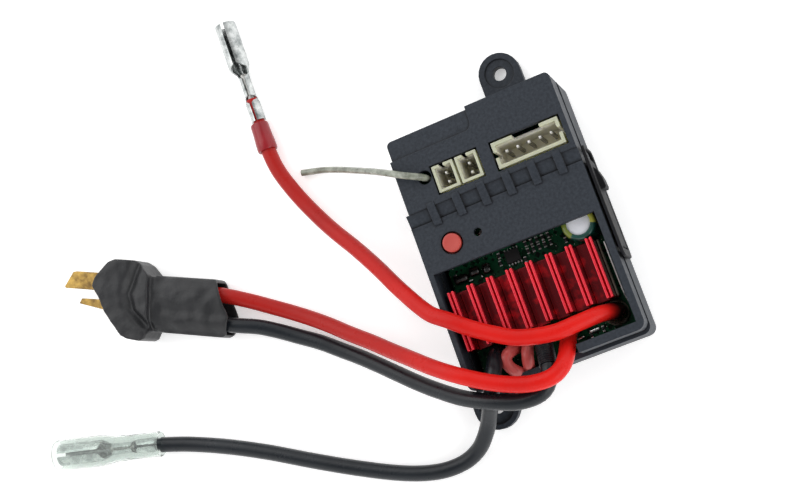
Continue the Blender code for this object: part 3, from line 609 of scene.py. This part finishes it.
BATTERY_BLACK_ROUTE = [
    (-2.8, -21.8, 6.7), (-2.8, -21.8, 8.8), (-2.7, -23.5, 11.0), (-2.6, -26.0, 13.2),
    (-2.9, -29.0, 14.7), (-4.3, -31.8, 15.2), (-6.9, -33.0, 15.3), (-11.0, -32.8, 15.3),
    (-15.1, -31.4, 15.1), (-18.1, -30.1, 14.6), (-22.6, -27.8, 13.0), (-27.2, -24.7, 10.6),
    (-31.4, -21.5, 8.4), (-35.5, -18.0, 6.3), (-39.7, -14.3, 4.4), (-43.8, -10.8, 2.9),
    (-47.9, -7.5, 2.1), (-51.8, -4.3, 1.9), (-56.0, -1.4, 1.9), (-60.0, 1.4, 2.3),
    (-64.0, 3.9, 3.1), (-68.0, 5.7, 3.8), (-71.6, 7.3, 4.1), (-75.0, 8.9, 4.1),
]
MOTOR_BLACK_ROUTE = [
    (-13.2, -21.4, 6.9), (-13.2, -21.5, 8.9), (-13.6, -23.0, 11.4), (-14.5, -25.5, 13.2),
    (-15.8, -28.2, 13.4), (-17.3, -30.6, 11.6), (-18.9, -32.4, 9.0), (-20.5, -34.3, 6.6),
    (-22.6, -36.5, 4.6), (-25.4, -38.7, 2.8), (-29.3, -40.2, 2.0), (-34.3, -40.4, 1.9),
    (-39.9, -39.2, 1.9), (-46.3, -36.7, 1.9), (-54.7, -32.6, 1.9), (-63.1, -28.1, 1.9),
    (-71.5, -23.4, 1.9), (-80.3, -19.0, 1.9), (-89.0, -15.3, 2.1), (-95.8, -13.0, 2.65),
]
ANTENNA_ROUTE = [
    (-12.8, 17.7, 9.0), (-12.8, 17.7, 13.5), (-12.9, 17.7, 16.9), (-14.1, 18.2, 19.1),
    (-16.5, 19.4, 19.3), (-19.7, 21.4, 18.0), (-23.4, 23.8, 14.8), (-28.0, 26.6, 10.2),
    (-33.0, 29.5, 5.8), (-37.2, 31.6, 2.9), (-40.4, 32.8, 1.3), (-43.2, 33.6, 0.85),
]
LINK_ROUTE_1 = [
    (-9.2, -21.6, 6.3), (-9.3, -21.8, 8.6), (-10.3, -22.3, 10.6), (-11.4, -23.4, 10.9),
    (-11.2, -25.2, 10.6), (-10.2, -26.6, 9.4), (-9.4, -27.3, 7.6),
]
LINK_ROUTE_2 = [
    (-6.1, -21.4, 6.3), (-6.2, -21.7, 8.4), (-6.6, -23.2, 10.0), (-7.2, -25.0, 9.8),
    (-7.7, -26.5, 8.6), (-7.9, -27.2, 7.0),
]


def no_swell(number):
    return 1.0


def tube(name, route, radius, finish, resolution=7, swell=no_swell):
    """A round tube along the route. swell gives the share of the radius that each point has."""
    curve = bpy.data.curves.new(name, "CURVE")
    curve.dimensions = "3D"
    curve.bevel_depth = radius * MM
    curve.bevel_resolution = resolution
    curve.use_fill_caps = True
    line = curve.splines.new("POLY")
    line.points.add(len(route) - 1)
    for number, (point, spot) in enumerate(zip(line.points, route)):
        point.co = (*world(spot), 1)
        point.radius = swell(number)
    thing = bpy.data.objects.new(name, curve)
    bpy.context.scene.collection.objects.link(thing)
    curve.materials.append(materials[finish])
    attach(thing, "body")
    return thing


def lead(name, points, radius, finish):
    """A lead along a smooth curve through the points."""
    route, total = smooth_route(points, LEAD_STEP)
    thing = tube(name, route, radius, finish)
    return thing


for name, points, radius, finish, node in (
    ("red_motor_lead", MOTOR_RED_ROUTE, LEAD_RADIUS, "silicone_red", "motor_wire_red"),
    ("red_battery_lead", BATTERY_RED_ROUTE, LEAD_RADIUS, "silicone_red", "battery_wire_red"),
    (
        "black_battery_lead", BATTERY_BLACK_ROUTE, LEAD_RADIUS, "silicone_black",
        "battery_wire_black",
    ),
    ("black_motor_lead", MOTOR_BLACK_ROUTE, LEAD_RADIUS, "silicone_black", "motor_wire_black"),
    ("antenna_lead", ANTENNA_ROUTE, ANTENNA_RADIUS, "antenna_jacket", "antenna_wire"),
    ("link_lead_1", LINK_ROUTE_1, LINK_RADIUS, "silicone_pink", "link_wire_1"),
    ("link_lead_2", LINK_ROUTE_2, LINK_RADIUS, "silicone_pink", "link_wire_2"),
):
    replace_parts(lead(name, points, radius, finish), node)


# The black battery lead's ribs: where they start and end along it, the thickness of their skin, how
# far apart they are, how much they stand out as a share of the radius, and points to each rib.
RIBBED = (5.0, 10.5)
RIB_SKIN = 0.06
RIB_PITCH = 0.5
RIB_RISE = 0.09
RIB_POINTS = 6


def rib_swell(number):
    return 1 + RIB_RISE * math.cos(number * math.tau / RIB_POINTS)


def ribbed_stretch(name, points, radius, finish):
    """A fine ribbed skin round part of a lead."""
    route, total = smooth_route(points, RIB_PITCH / RIB_POINTS)
    first, last = (round(place / total * (len(route) - 1)) for place in RIBBED)
    return tube(name, route[first : last + 1], radius + RIB_SKIN, finish, 6, rib_swell)


lead_ribs = ribbed_stretch("lead_ribs", BATTERY_BLACK_ROUTE, LEAD_RADIUS, "silicone_black")

# ---------------------------------------------------------------- case

show("case_cover", faceted("top_cover"), "slate_plastic", replaces=["top_cover"])

# The cover's raised ribs: their outline (y, z) across the band, how many there are, where the first
# one's left side is, their pitch and their width.
RIB_OUTLINE = [(12.5, 17.2), (12.5, 17.6), (11.6, 17.74), (7.55, 16.66), (7.35, 16.1)]
RIB_COUNT = 6
FIRST_RIB = -14.7
COVER_RIB_PITCH = 5.68
RIB_WIDTH = 1.75

ribs = bmesh.new()
for number in range(RIB_COUNT):
    left = FIRST_RIB + COVER_RIB_PITCH * number
    ends = [[ribs.verts.new((x, y, z)) for y, z in RIB_OUTLINE] for x in (left, left + RIB_WIDTH)]
    for end in ends:
        ribs.faces.new(end)
    for step in range(len(RIB_OUTLINE)):
        after = (step + 1) % len(RIB_OUTLINE)
        ribs.faces.new((ends[0][step], ends[1][step], ends[1][after], ends[0][after]))
show("cover_ribs", rounded(mesh_of(ribs, "cover_ribs"), 0.1), "slate_plastic")
show("case_base", faceted("base_shell"), "slate_plastic", replaces=["base_shell"])
show(
    "switch_rail", rounded(joined_flats("side_rail"), 0.18), "switch_plastic",
    replaces=["side_rail"],
)
show(
    "slider_thumb", rounded(joined_flats("power_slider"), 0.16), "switch_plastic", "slider",
    replaces=["power_slider"],
)

# ---------------------------------------------------------------- heat sink, board, capacitor

show("fins", rounded(joined_flats("heat_sink"), 0.2, 3), "red_anodised", replaces=["heat_sink"])
show(
    "board", rounded(joined_flats("circuit_board"), 0.1, 1), "board_green",
    replaces=["circuit_board"],
)
for carried, finish in (
    ("microcontroller", "chip_black"), ("radio_chip", "chip_black"), ("crystal", "tin"),
    ("thermal_pad", "thermal_grey"), ("slide_switch", "tin"), ("button_switch", "chip_black"),
    ("mosfet_1", "chip_black"), ("mosfet_2", "chip_black"), ("mosfet_3", "chip_black"),
    ("mosfet_4", "chip_black"),
):
    show(
        f"{carried}_part", rounded(joined_flats(carried), 0.12), finish, replaces=[carried],
    )

BOARD_TOP = 5.82


def board_parts(name, finish, blocks, round_by=0.08):
    """Small parts soldered to the board: (x, y, length, width, height) of each block."""
    form = bmesh.new()
    for x, y, length, width, height in blocks:
        box_form((x - length / 2, x + length / 2), (y - width / 2, y + width / 2),
                 (BOARD_TOP, BOARD_TOP + height), form)
    return show(name, rounded(mesh_of(form, name), round_by), finish)


# The small parts' middles and their size (x, y, height), and their tinned ends' size and offset.
CHIP_SPOTS = [(x, y) for x in (0.2, 1.5, 2.8, 4.1, 5.4) for y in (-1.5, -3.1)]
CHIP_SPOTS += [(-6.1, -1.8), (-6.3, -3.4), (8.6, -3.9), (-0.9, -4.6), (9.4, -24.2), (6.6, -24.6)]
CHIP_SIZE = (0.6, 0.7, 0.45)
CHIP_END = (0.62, 0.26, 0.42)
CHIP_END_OFFSET = 0.52
# One larger chip, and its legs: how many a row has, the first one's x, their pitch, the rows' y and
# a leg's size.
BIG_CHIP = (-3.2, -2.9, 3.2, 2.7, 0.9)
LEG_COUNT, FIRST_LEG, LEG_PITCH, LEG_ROWS, LEG_SIZE = 5, -4.6, 0.7, (-1.3, -4.5), (0.28, 0.5, 0.2)

chips = [(x, y, *CHIP_SIZE) for x, y in CHIP_SPOTS]
tinned = [(x, y + end * CHIP_END_OFFSET, *CHIP_END) for x, y in CHIP_SPOTS for end in (1, -1)]
leg_places = [FIRST_LEG + LEG_PITCH * number for number in range(LEG_COUNT)]
tinned += [(x, y, *LEG_SIZE) for x in leg_places for y in LEG_ROWS]
# Blobs of coating and of solder: (x, y, length, width, height).
coated = [
    (-15.4, -3.6, 3.2, 1.9, 1.7), (-12.2, -3.0, 2.4, 2.1, 1.3), (-9.4, -3.4, 1.9, 2.4, 1.6),
    (-14.0, -22.4, 3.4, 3.6, 2.2), (-10.4, -21.0, 1.4, 1.2, 1.6),
]
soldered = [
    (-16.4, -2.4, 0.9, 0.35, 1.2), (-13.6, -4.6, 1.3, 0.4, 0.9), (-10.9, -4.6, 0.5, 1.0, 1.2),
    (-10.6, -21.0, 1.5, 1.3, 2.0), (-7.0, -21.0, 1.3, 1.2, 2.2), (7.6, -23.9, 2.4, 0.9, 0.6),
    (4.4, -24.4, 1.8, 0.7, 0.6),
]
board_parts("small_parts", "chip_black", chips + [BIG_CHIP])
board_parts("small_part_ends", "pad_tin", tinned, 0.04)
board_parts("coated_parts", "coating", coated, 0.6)
board_parts("solder_bits", "solder", soldered, 0.3)

# A painted highlight: a thin bright tin wire along the window's right edge, standing in for the
# light that edge catches.
EDGE_HIGHLIGHT_ROUTE = [
    (16.9, -8.2, 13.8), (16.85, -12.5, 13.4), (16.8, -16.5, 12.8), (16.75, -19.5, 11.6),
    (16.7, -21.6, 8.6),
]
EDGE_HIGHLIGHT_RADIUS = 0.14
highlight_route, _ = smooth_route(EDGE_HIGHLIGHT_ROUTE, LEAD_STEP)
tube("edge_highlight_wire", highlight_route, EDGE_HIGHLIGHT_RADIUS, "pad_tin")

# Near where the red motor lead enters the board, and the ring and the glue there: (radius, z).
HOLE = (13.2, -22.1)
HOLE_RING = [(2.75, 5.9), (2.7, 6.9), (2.45, 7.1), (2.25, 6.9), (2.2, 5.9)]
HOLE_GLUE = [(2.35, 5.9), (2.2, 7.2), (1.6, 8.6), (0.0, 9.0)]
ring = mesh_of(turned(HOLE_RING, HOLE, 40), "lead_ring")
show("lead_ring", ring, "tan_metal")
glue = mesh_of(turned(HOLE_GLUE, HOLE, 40), "lead_glue")
show("lead_glue", glue, "flux_brown")

# The metal strip along the heat sink's right side.
strip = mesh_of(box_form((15.05, 15.5), (-19.2, -6.8), (8.9, 10.3)), "sink_edge")
show("sink_edge", rounded(strip, 0.12), "tan_metal")

# The capacitor's profiles: (radius, z).
CAN_TOP = [
    (0, 13.16), (1.2, 13.15), (2.3, 13.12), (2.75, 13.0), (3.0, 12.8), (3.1, 12.4), (3.1, 6.8),
    (0, 6.8),
]
CAN_SLEEVE = [
    (3.36, 6.1), (3.63, 6.1), (3.65, 6.4), (3.65, 12.9), (3.6, 13.25), (3.45, 13.52), (3.2, 13.66),
    (2.9, 13.7), (2.6, 13.66), (2.5, 13.55), (2.55, 13.45), (2.9, 13.42), (3.2, 13.36),
    (3.36, 13.0), (3.36, 6.1),
]
can_top = mesh_of(turned(CAN_TOP, CAN), "can_top")
show("can_top", can_top, "can_aluminium", replaces=["capacitor_can"])
can_sleeve = mesh_of(turned(CAN_SLEEVE, CAN), "can_sleeve")
show("can_sleeve", can_sleeve, "sleeve_green", replaces=["capacitor_sleeve"])

# ---------------------------------------------------------------- sockets and pins

for node in ("servo_socket", "light_socket_1", "light_socket_2"):
    show(f"{node}_housing", rounded(joined_flats(node), 0.12), "nylon", replaces=[node])

# Half a pin's width, and the length of its tapered point.
PIN_HALF = 0.32
PIN_POINT = 0.6
PIN_CORNERS = ((1, 1), (-1, 1), (-1, -1), (1, -1))


def pin(node):
    """A square pin with a tapered point, in metres, where the node stands."""
    low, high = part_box(node)
    x, y = (low.x + high.x) / 2, (low.y + high.y) / 2
    form = bmesh.new()
    half = PIN_HALF * MM
    rings = []
    for size, z in ((half, low.z), (half, high.z - PIN_POINT * MM), (half * 0.5, high.z)):
        rings.append([form.verts.new((x + a * size, y + b * size, z)) for a, b in PIN_CORNERS])
    for a, b in zip(rings, rings[1:]):
        for step in range(4):
            after = (step + 1) % 4
            form.faces.new((a[step], b[step], b[after], a[after]))
    form.faces.new(rings[0])
    form.faces.new(rings[-1])
    return mesh_of(form, node, 20, False)


for node in [f"servo_pin_{n}" for n in range(1, 6)] + [f"light_pin_{n}" for n in range(1, 5)]:
    show(f"{node}_post", pin(node), "pin_tin", replaces=[node])

# ---------------------------------------------------------------- button, LED, screws

# The button's and the status light's middles, and their profiles: (radius, z).
BUTTON, LED = (-12.5, 2.9), (-6.6, 3.0)
BUTTON_CAP = [
    (0, 16.82), (0.5, 16.82), (1.0, 16.83), (1.6, 16.88), (1.8, 16.88), (1.93, 16.8),
    (2.0, 16.62), (2.0, 14.1), (2.75, 14.1), (2.8, 14.0), (2.8, 13.2), (2.75, 13.1), (2.0, 13.1),
    (2.0, 10.3), (0, 10.3),
]
LED_LENS = [(0, 12.0), (0.5, 11.9), (0.95, 11.6), (1.2, 11.1), (1.3, 9.0), (1.4, 6.1), (0, 6.1)]
button_cap = mesh_of(turned(BUTTON_CAP, BUTTON), "button_cap", 60)
show("button_cap", button_cap, "button_red", "button", replaces=["setup_button"])
led_lens = mesh_of(turned(LED_LENS, LED, 24), "led_lens")
show("led_lens", led_lens, "led_clear", replaces=["status_led"])

# The cross in a case screw's head: how far it reaches, half its width and its depth.
SLOT_REACH, SLOT_HALF, SLOT_DEPTH = 1.1, 0.22, 0.75
for node in ("case_screw_1", "case_screw_2"):
    low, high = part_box(node)
    x, y = (low.x + high.x) / 2 / MM - CASE_SHIFT.x, (low.y + high.y) / 2 / MM - CASE_SHIFT.y
    cross = [
        mesh_of(box_form((x - a, x + a), (y - b, y + b), (0, SLOT_DEPTH)), "cross")
        for a, b in ((SLOT_REACH, SLOT_HALF), (SLOT_HALF, SLOT_REACH))
    ]
    head = rounded(joined_flats(node), 0.1, cutters=cross)
    show(f"{node}_head", head, "screw_steel", replaces=[node])

# ---------------------------------------------------------------- battery plug

# The plug's own coordinates: +X runs from its blades to its leads, and +Y across it.
PLUG_TURN = math.radians(-24.6)
PLUG_JOINT = Vector((-84.95, 17.4, 0))
PLUG_TO_WORLD = TO_WORLD @ Matrix.Translation(PLUG_JOINT) @ Matrix.Rotation(PLUG_TURN, 4, "Z")
# The block that joins the housing to the sleeve in the skin: x, y and z.
BRIDGE = ((-4.0, 2.0), (-6.2, 6.2), (0.4, 7.7))
SKIN_VOXEL = 0.25
# Where the shrink dips between the housing and the leads, as (across the plug, along the plug), and
# how wide and deep the dip is.
VALLEY = ((-9.0, 2.6), (-6.6, 0.4), (-1.6, -5.4), (1.9, -6.6), (8.3, -4.6), (9.8, -4.2))
VALLEY_WIDTH = 1.5
VALLEY_DEPTH = 1.5
# Wrinkles over the shrink: how many to a millimetre and how deep.
WRINKLES = 0.35
WRINKLE_DEPTH = 0.35
# The sleeve's top behind the housing: how far its sides droop, its half width, the middle, and the
# furrow between the two leads: its depth, place and width.
DROOP, SLEEVE_HALF, SLEEVE_MIDDLE = 1.9, 6.4, 0.6
FURROW_DEPTH, FURROW_AT, FURROW_WIDTH = 0.55, -1.2, 1.6
# Where each change to the skin is none and where it is whole: upwards, back from the sleeve's open
# end, and from the housing to the sleeve.
UPWARDS = (3.5, 7.5)
FROM_OPEN_END = (17.0, 14.0)
FROM_HOUSING = (-1.0, 2.0)


def valley_at(across):
    """How far along the plug the dip's middle is."""
    for (v0, u0), (v1, u1) in zip(VALLEY, VALLEY[1:]):
        if across <= v1:
            return u0 + (u1 - u0) * max(0.0, across - v0) / (v1 - v0)
    return VALLEY[-1][1]


def bell(distance, width):
    return math.exp(-((distance / width) ** 2))


def share(value, none, whole):
    return max(0.0, min(1.0, (value - none) / (whole - none)))


def plug_skin():
    """The heat-shrink: one skin over the housing and the leads' joints, pulled in between them.

    Its underside and its open end keep their shape, and its top sinks in the dip, in the wrinkles
    and, behind the housing, along its sides and between the two leads.
    """
    form = bmesh.new()
    for node in ("t_plug_body", "plug_sleeve"):
        form.from_mesh(frame["nodes"][node].data)
    bridge = mesh_of(box_form(*BRIDGE), "bridge", to_world=False)
    bridge.transform(PLUG_TO_WORLD)
    form.from_mesh(bridge)
    bmesh.ops.remove_doubles(form, verts=form.verts, dist=SAME)
    mesh = bpy.data.meshes.new("plug")
    form.to_mesh(mesh)
    form.free()
    thing = helper(mesh)
    step = thing.modifiers.new("skin", "REMESH")
    step.mode = "VOXEL"
    step.voxel_size = SKIN_VOXEL * MM
    step = thing.modifiers.new("soften", "SMOOTH")
    step.factor = 0.6
    step.iterations = 9
    mesh = evaluated(thing)
    back = PLUG_TO_WORLD.inverted()
    for corner in mesh.vertices:
        spot = back @ corner.co
        dip = VALLEY_DEPTH * bell(spot.x - valley_at(spot.y), VALLEY_WIDTH)
        wrinkle = noise.noise(Vector((spot.x * WRINKLES, spot.y * WRINKLES, 3.0)))
        wrinkle = WRINKLE_DEPTH * (wrinkle + 0.5)
        high = share(spot.z, *UPWARDS)
        inside = share(spot.x, *FROM_OPEN_END)
        behind = share(spot.x, *FROM_HOUSING)
        crown = DROOP * behind * min(1.0, (abs(spot.y - SLEEVE_MIDDLE) / SLEEVE_HALF) ** 3)
        crown += FURROW_DEPTH * behind * bell(spot.y - FURROW_AT, FURROW_WIDTH)
        spot.z -= high * (inside * (dip + wrinkle) + crown)
        corner.co = PLUG_TO_WORLD @ spot
    mesh.shade_smooth()
    return mesh


plug_shrink = show(
    "plug_shrink", plug_skin(), "shrink_black", replaces=["t_plug_body", "plug_sleeve"]
)
blades = [
    show(f"{node}_metal", rounded(joined_flats(node), 0.18, 3), "blade_brass", replaces=[node])
    for node in ("t_plug_blade_flat", "t_plug_blade_upright")
]

# ---------------------------------------------------------------- motor terminals

# Along a receptacle from its tip: distance, half width, half of its open angle in degrees, and how
# much lower its middle is.
CHANNEL = (
    (0.0, 2.42, 12, 0.0), (0.25, 2.5, 10, 0.0), (10.2, 2.5, 10, 0.0), (10.8, 2.45, 30, 0.0),
    (11.4, 2.2, 70, 0.0), (12.4, 1.5, 100, -0.7), (12.9, 1.35, 60, -0.9), (13.4, 1.3, 16, -1.0),
    (17.9, 1.3, 12, -1.0), (18.3, 1.35, 70, -0.9), (19.0, 1.5, 90, -0.8), (19.5, 1.62, 30, -0.8),
    (20.0, 1.7, 10, -0.8), (24.3, 1.7, 8, -0.8),
)
SHEET = 0.36
ARC_STEPS = 28
# In a receptacle: the centre, radius, (start, end) from its tip and sides of each.
STRANDS = ((0, -1.0), 0.85, (12.6, 19.4), 20)
JACKET = ((0, -0.8), 1.3, (18.9, 25.9), 28)
RED_TIP, RED_HEIGHT = (-48.6, 73.0), 2.6
BLACK_TIP, BLACK_HEIGHT = (-120.4, -6.9), 3.65
BLACK_ANGLE = math.radians(76.6)


def channel(place):
    """A rolled sheet, open along its top: barrel, neck and the two crimps."""
    form = bmesh.new()
    loops = []
    for along, half, opening, sink in CHANNEL:
        gap = math.radians(opening)
        ring = []
        for radius, turn in ((half, 1), (half - SHEET, -1)):
            arc = [gap + (math.tau - 2 * gap) * step / ARC_STEPS for step in range(ARC_STEPS + 1)]
            ring += [
                form.verts.new((radius * math.sin(a), radius * math.cos(a) + sink, along))
                for a in arc[::turn]
            ]
        loops.append(ring)
    for a, b in zip(loops, loops[1:]):
        for step in range(len(a)):
            after = (step + 1) % len(a)
            form.faces.new((a[step], b[step], b[after], a[after]))
    for ring in (loops[0], loops[-1]):
        half = len(ring) // 2
        for step in range(half - 1):
            form.faces.new((ring[step], ring[step + 1], ring[-2 - step], ring[-1 - step]))
    form.transform(place)
    return mesh_of(form, "channel", 40)


def terminal(node, tip, angle, height, jacket_finish):
    """A receptacle with the lead's strands and the end of its jacket in it."""
    stand = Matrix.Translation(Vector((*tip, height)))
    place = stand @ Matrix.Rotation(angle, 4, "Z") @ Matrix.Rotation(math.radians(90), 4, "X")
    made = show(f"{node}_metal", channel(place), "tin", replaces=[node])
    strands = rod_form(*STRANDS)
    strands.transform(place)
    core = show(f"{node}_strands", mesh_of(strands, "strands"), "strand_tin")
    end = rod_form(*JACKET)
    end.transform(place)
    jacket = show(f"{node}_jacket", mesh_of(end, "jacket"), jacket_finish)
    return [made, core, jacket]


red_terminal = terminal("motor_terminal_red", RED_TIP, 0.0, RED_HEIGHT, "silicone_red")
black_terminal = terminal(
    "motor_terminal_black", BLACK_TIP, BLACK_ANGLE, BLACK_HEIGHT, "silicone_black"
)


def shrunk_sleeve(node, start, along, profile, finish):
    """A short sleeve round a lead: profile of (radius, distance along), outside then inside."""
    form = turned(profile + [profile[0]], (0, 0), 40)
    turn = Vector(along).to_track_quat("Z", "Y").to_matrix().to_4x4()
    form.transform(Matrix.Translation(Vector(start)) @ turn)
    return show(f"{node}_form", mesh_of(form, node), finish, replaces=[node])


# Each sleeve's profile, (radius, distance along), and how far its start is behind the red lead's
# end or ahead of the black terminal's tip.
RED_SLEEVE = [
    (2.2, 0), (2.32, 0.3), (2.3, 2.0), (2.15, 4.0), (2.1, 6.2), (2.0, 6.6), (1.78, 6.6), (1.78, 0),
]
RED_SLEEVE_BEHIND = 6.8
CLEAR_SLEEVE = [
    (3.5, 0), (3.6, 0.4), (3.6, 10.5), (3.4, 12.5), (2.95, 15.5), (2.85, 16.4), (3.0, 16.8),
    (3.0, 17.4), (2.85, 17.8), (2.85, 25.8), (2.95, 26.2), (2.8, 26.5), (2.5, 26.5), (2.55, 17.8),
    (2.6, 15.5), (3.0, 12.5), (3.25, 10.5), (3.2, 0),
]
CLEAR_SLEEVE_AHEAD = 0.8

x, y, z = MOTOR_RED_ROUTE[-1]
red_sleeve = shrunk_sleeve(
    "terminal_sleeve_red", (x, y - RED_SLEEVE_BEHIND, z), (0, 1, 0), RED_SLEEVE, "sleeve_red"
)
inward = Vector((math.sin(BLACK_ANGLE), -math.cos(BLACK_ANGLE), 0))
clear_sleeve = shrunk_sleeve(
    "terminal_sleeve_clear", Vector((*BLACK_TIP, BLACK_HEIGHT)) - inward * CLEAR_SLEEVE_AHEAD,
    inward, CLEAR_SLEEVE, "sleeve_clear",
)

# ---------------------------------------------------------------- floor and light

# Half of the floor's side in metres, and how much it glows.
FLOOR_HALF = 3.0
FLOOR_GLOW = 0.38
# The studio's brightness: the bright horizon's and the dim zenith's, and the slopes between which
# one turns into the other.
HORIZON, ZENITH = 1.35, 0.28
HORIZON_TO, ZENITH_FROM = 0.55, 0.95


def make_floor():
    form = bmesh.new()
    bmesh.ops.create_grid(form, x_segments=1, y_segments=1, size=FLOOR_HALF)
    mesh = bpy.data.meshes.new("floor")
    form.to_mesh(mesh)
    form.free()
    floor = bpy.data.objects.new("floor", mesh)
    bpy.context.scene.collection.objects.link(floor)
    paper = Nodes("paper")
    paper.shader.inputs["Emission Color"].default_value = (1, 1, 1, 1)
    paper.shader.inputs["Emission Strength"].default_value = FLOOR_GLOW
    mesh.materials.append(paper.finish(color=(0.93, 0.93, 0.93, 1), rough=0.9, specular=0.1))


def make_studio():
    """Even white surroundings, bright at the horizon and dim overhead."""
    studio = bpy.data.worlds.new("studio")
    studio.use_nodes = True
    tree = studio.node_tree
    toward = tree.nodes.new("ShaderNodeTexCoord").outputs["Generated"]
    split = tree.nodes.new("ShaderNodeSeparateXYZ")
    tree.links.new(toward, split.inputs[0])
    height = tree.nodes.new("ShaderNodeMapRange")
    height.interpolation_type = "SMOOTHSTEP"
    tree.links.new(split.outputs["Z"], height.inputs["Value"])
    height.inputs["From Min"].default_value = HORIZON_TO
    height.inputs["From Max"].default_value = ZENITH_FROM
    height.inputs["To Min"].default_value = HORIZON
    height.inputs["To Max"].default_value = ZENITH
    background = tree.nodes["Background"]
    tree.links.new(height.outputs["Result"], background.inputs["Strength"])
    background.inputs["Color"].default_value = (1, 1, 1, 1)
    bpy.context.scene.world = studio
    bpy.context.scene.view_settings.view_transform = "Standard"


def soft_light(name, at, aim, size, power):
    """An area light at a place in metres, turned to its aim, with its size and its watts."""
    data = bpy.data.lights.new(name, "AREA")
    data.shape = "RECTANGLE"
    data.size, data.size_y = size
    data.energy = power
    thing = bpy.data.objects.new(name, data)
    thing.location = at
    thing.rotation_euler = (Vector(aim) - Vector(at)).to_track_quat("-Z", "Y").to_euler()
    bpy.context.scene.collection.objects.link(thing)


make_floor()
make_studio()
soft_light("key", (-0.3, 0.35, 0.55), (-0.03, 0, 0), (0.7, 0.5), 1.7)
soft_light("fill", (0.5, -0.45, 0.4), (0, 0, 0), (0.6, 0.5), 1.6)
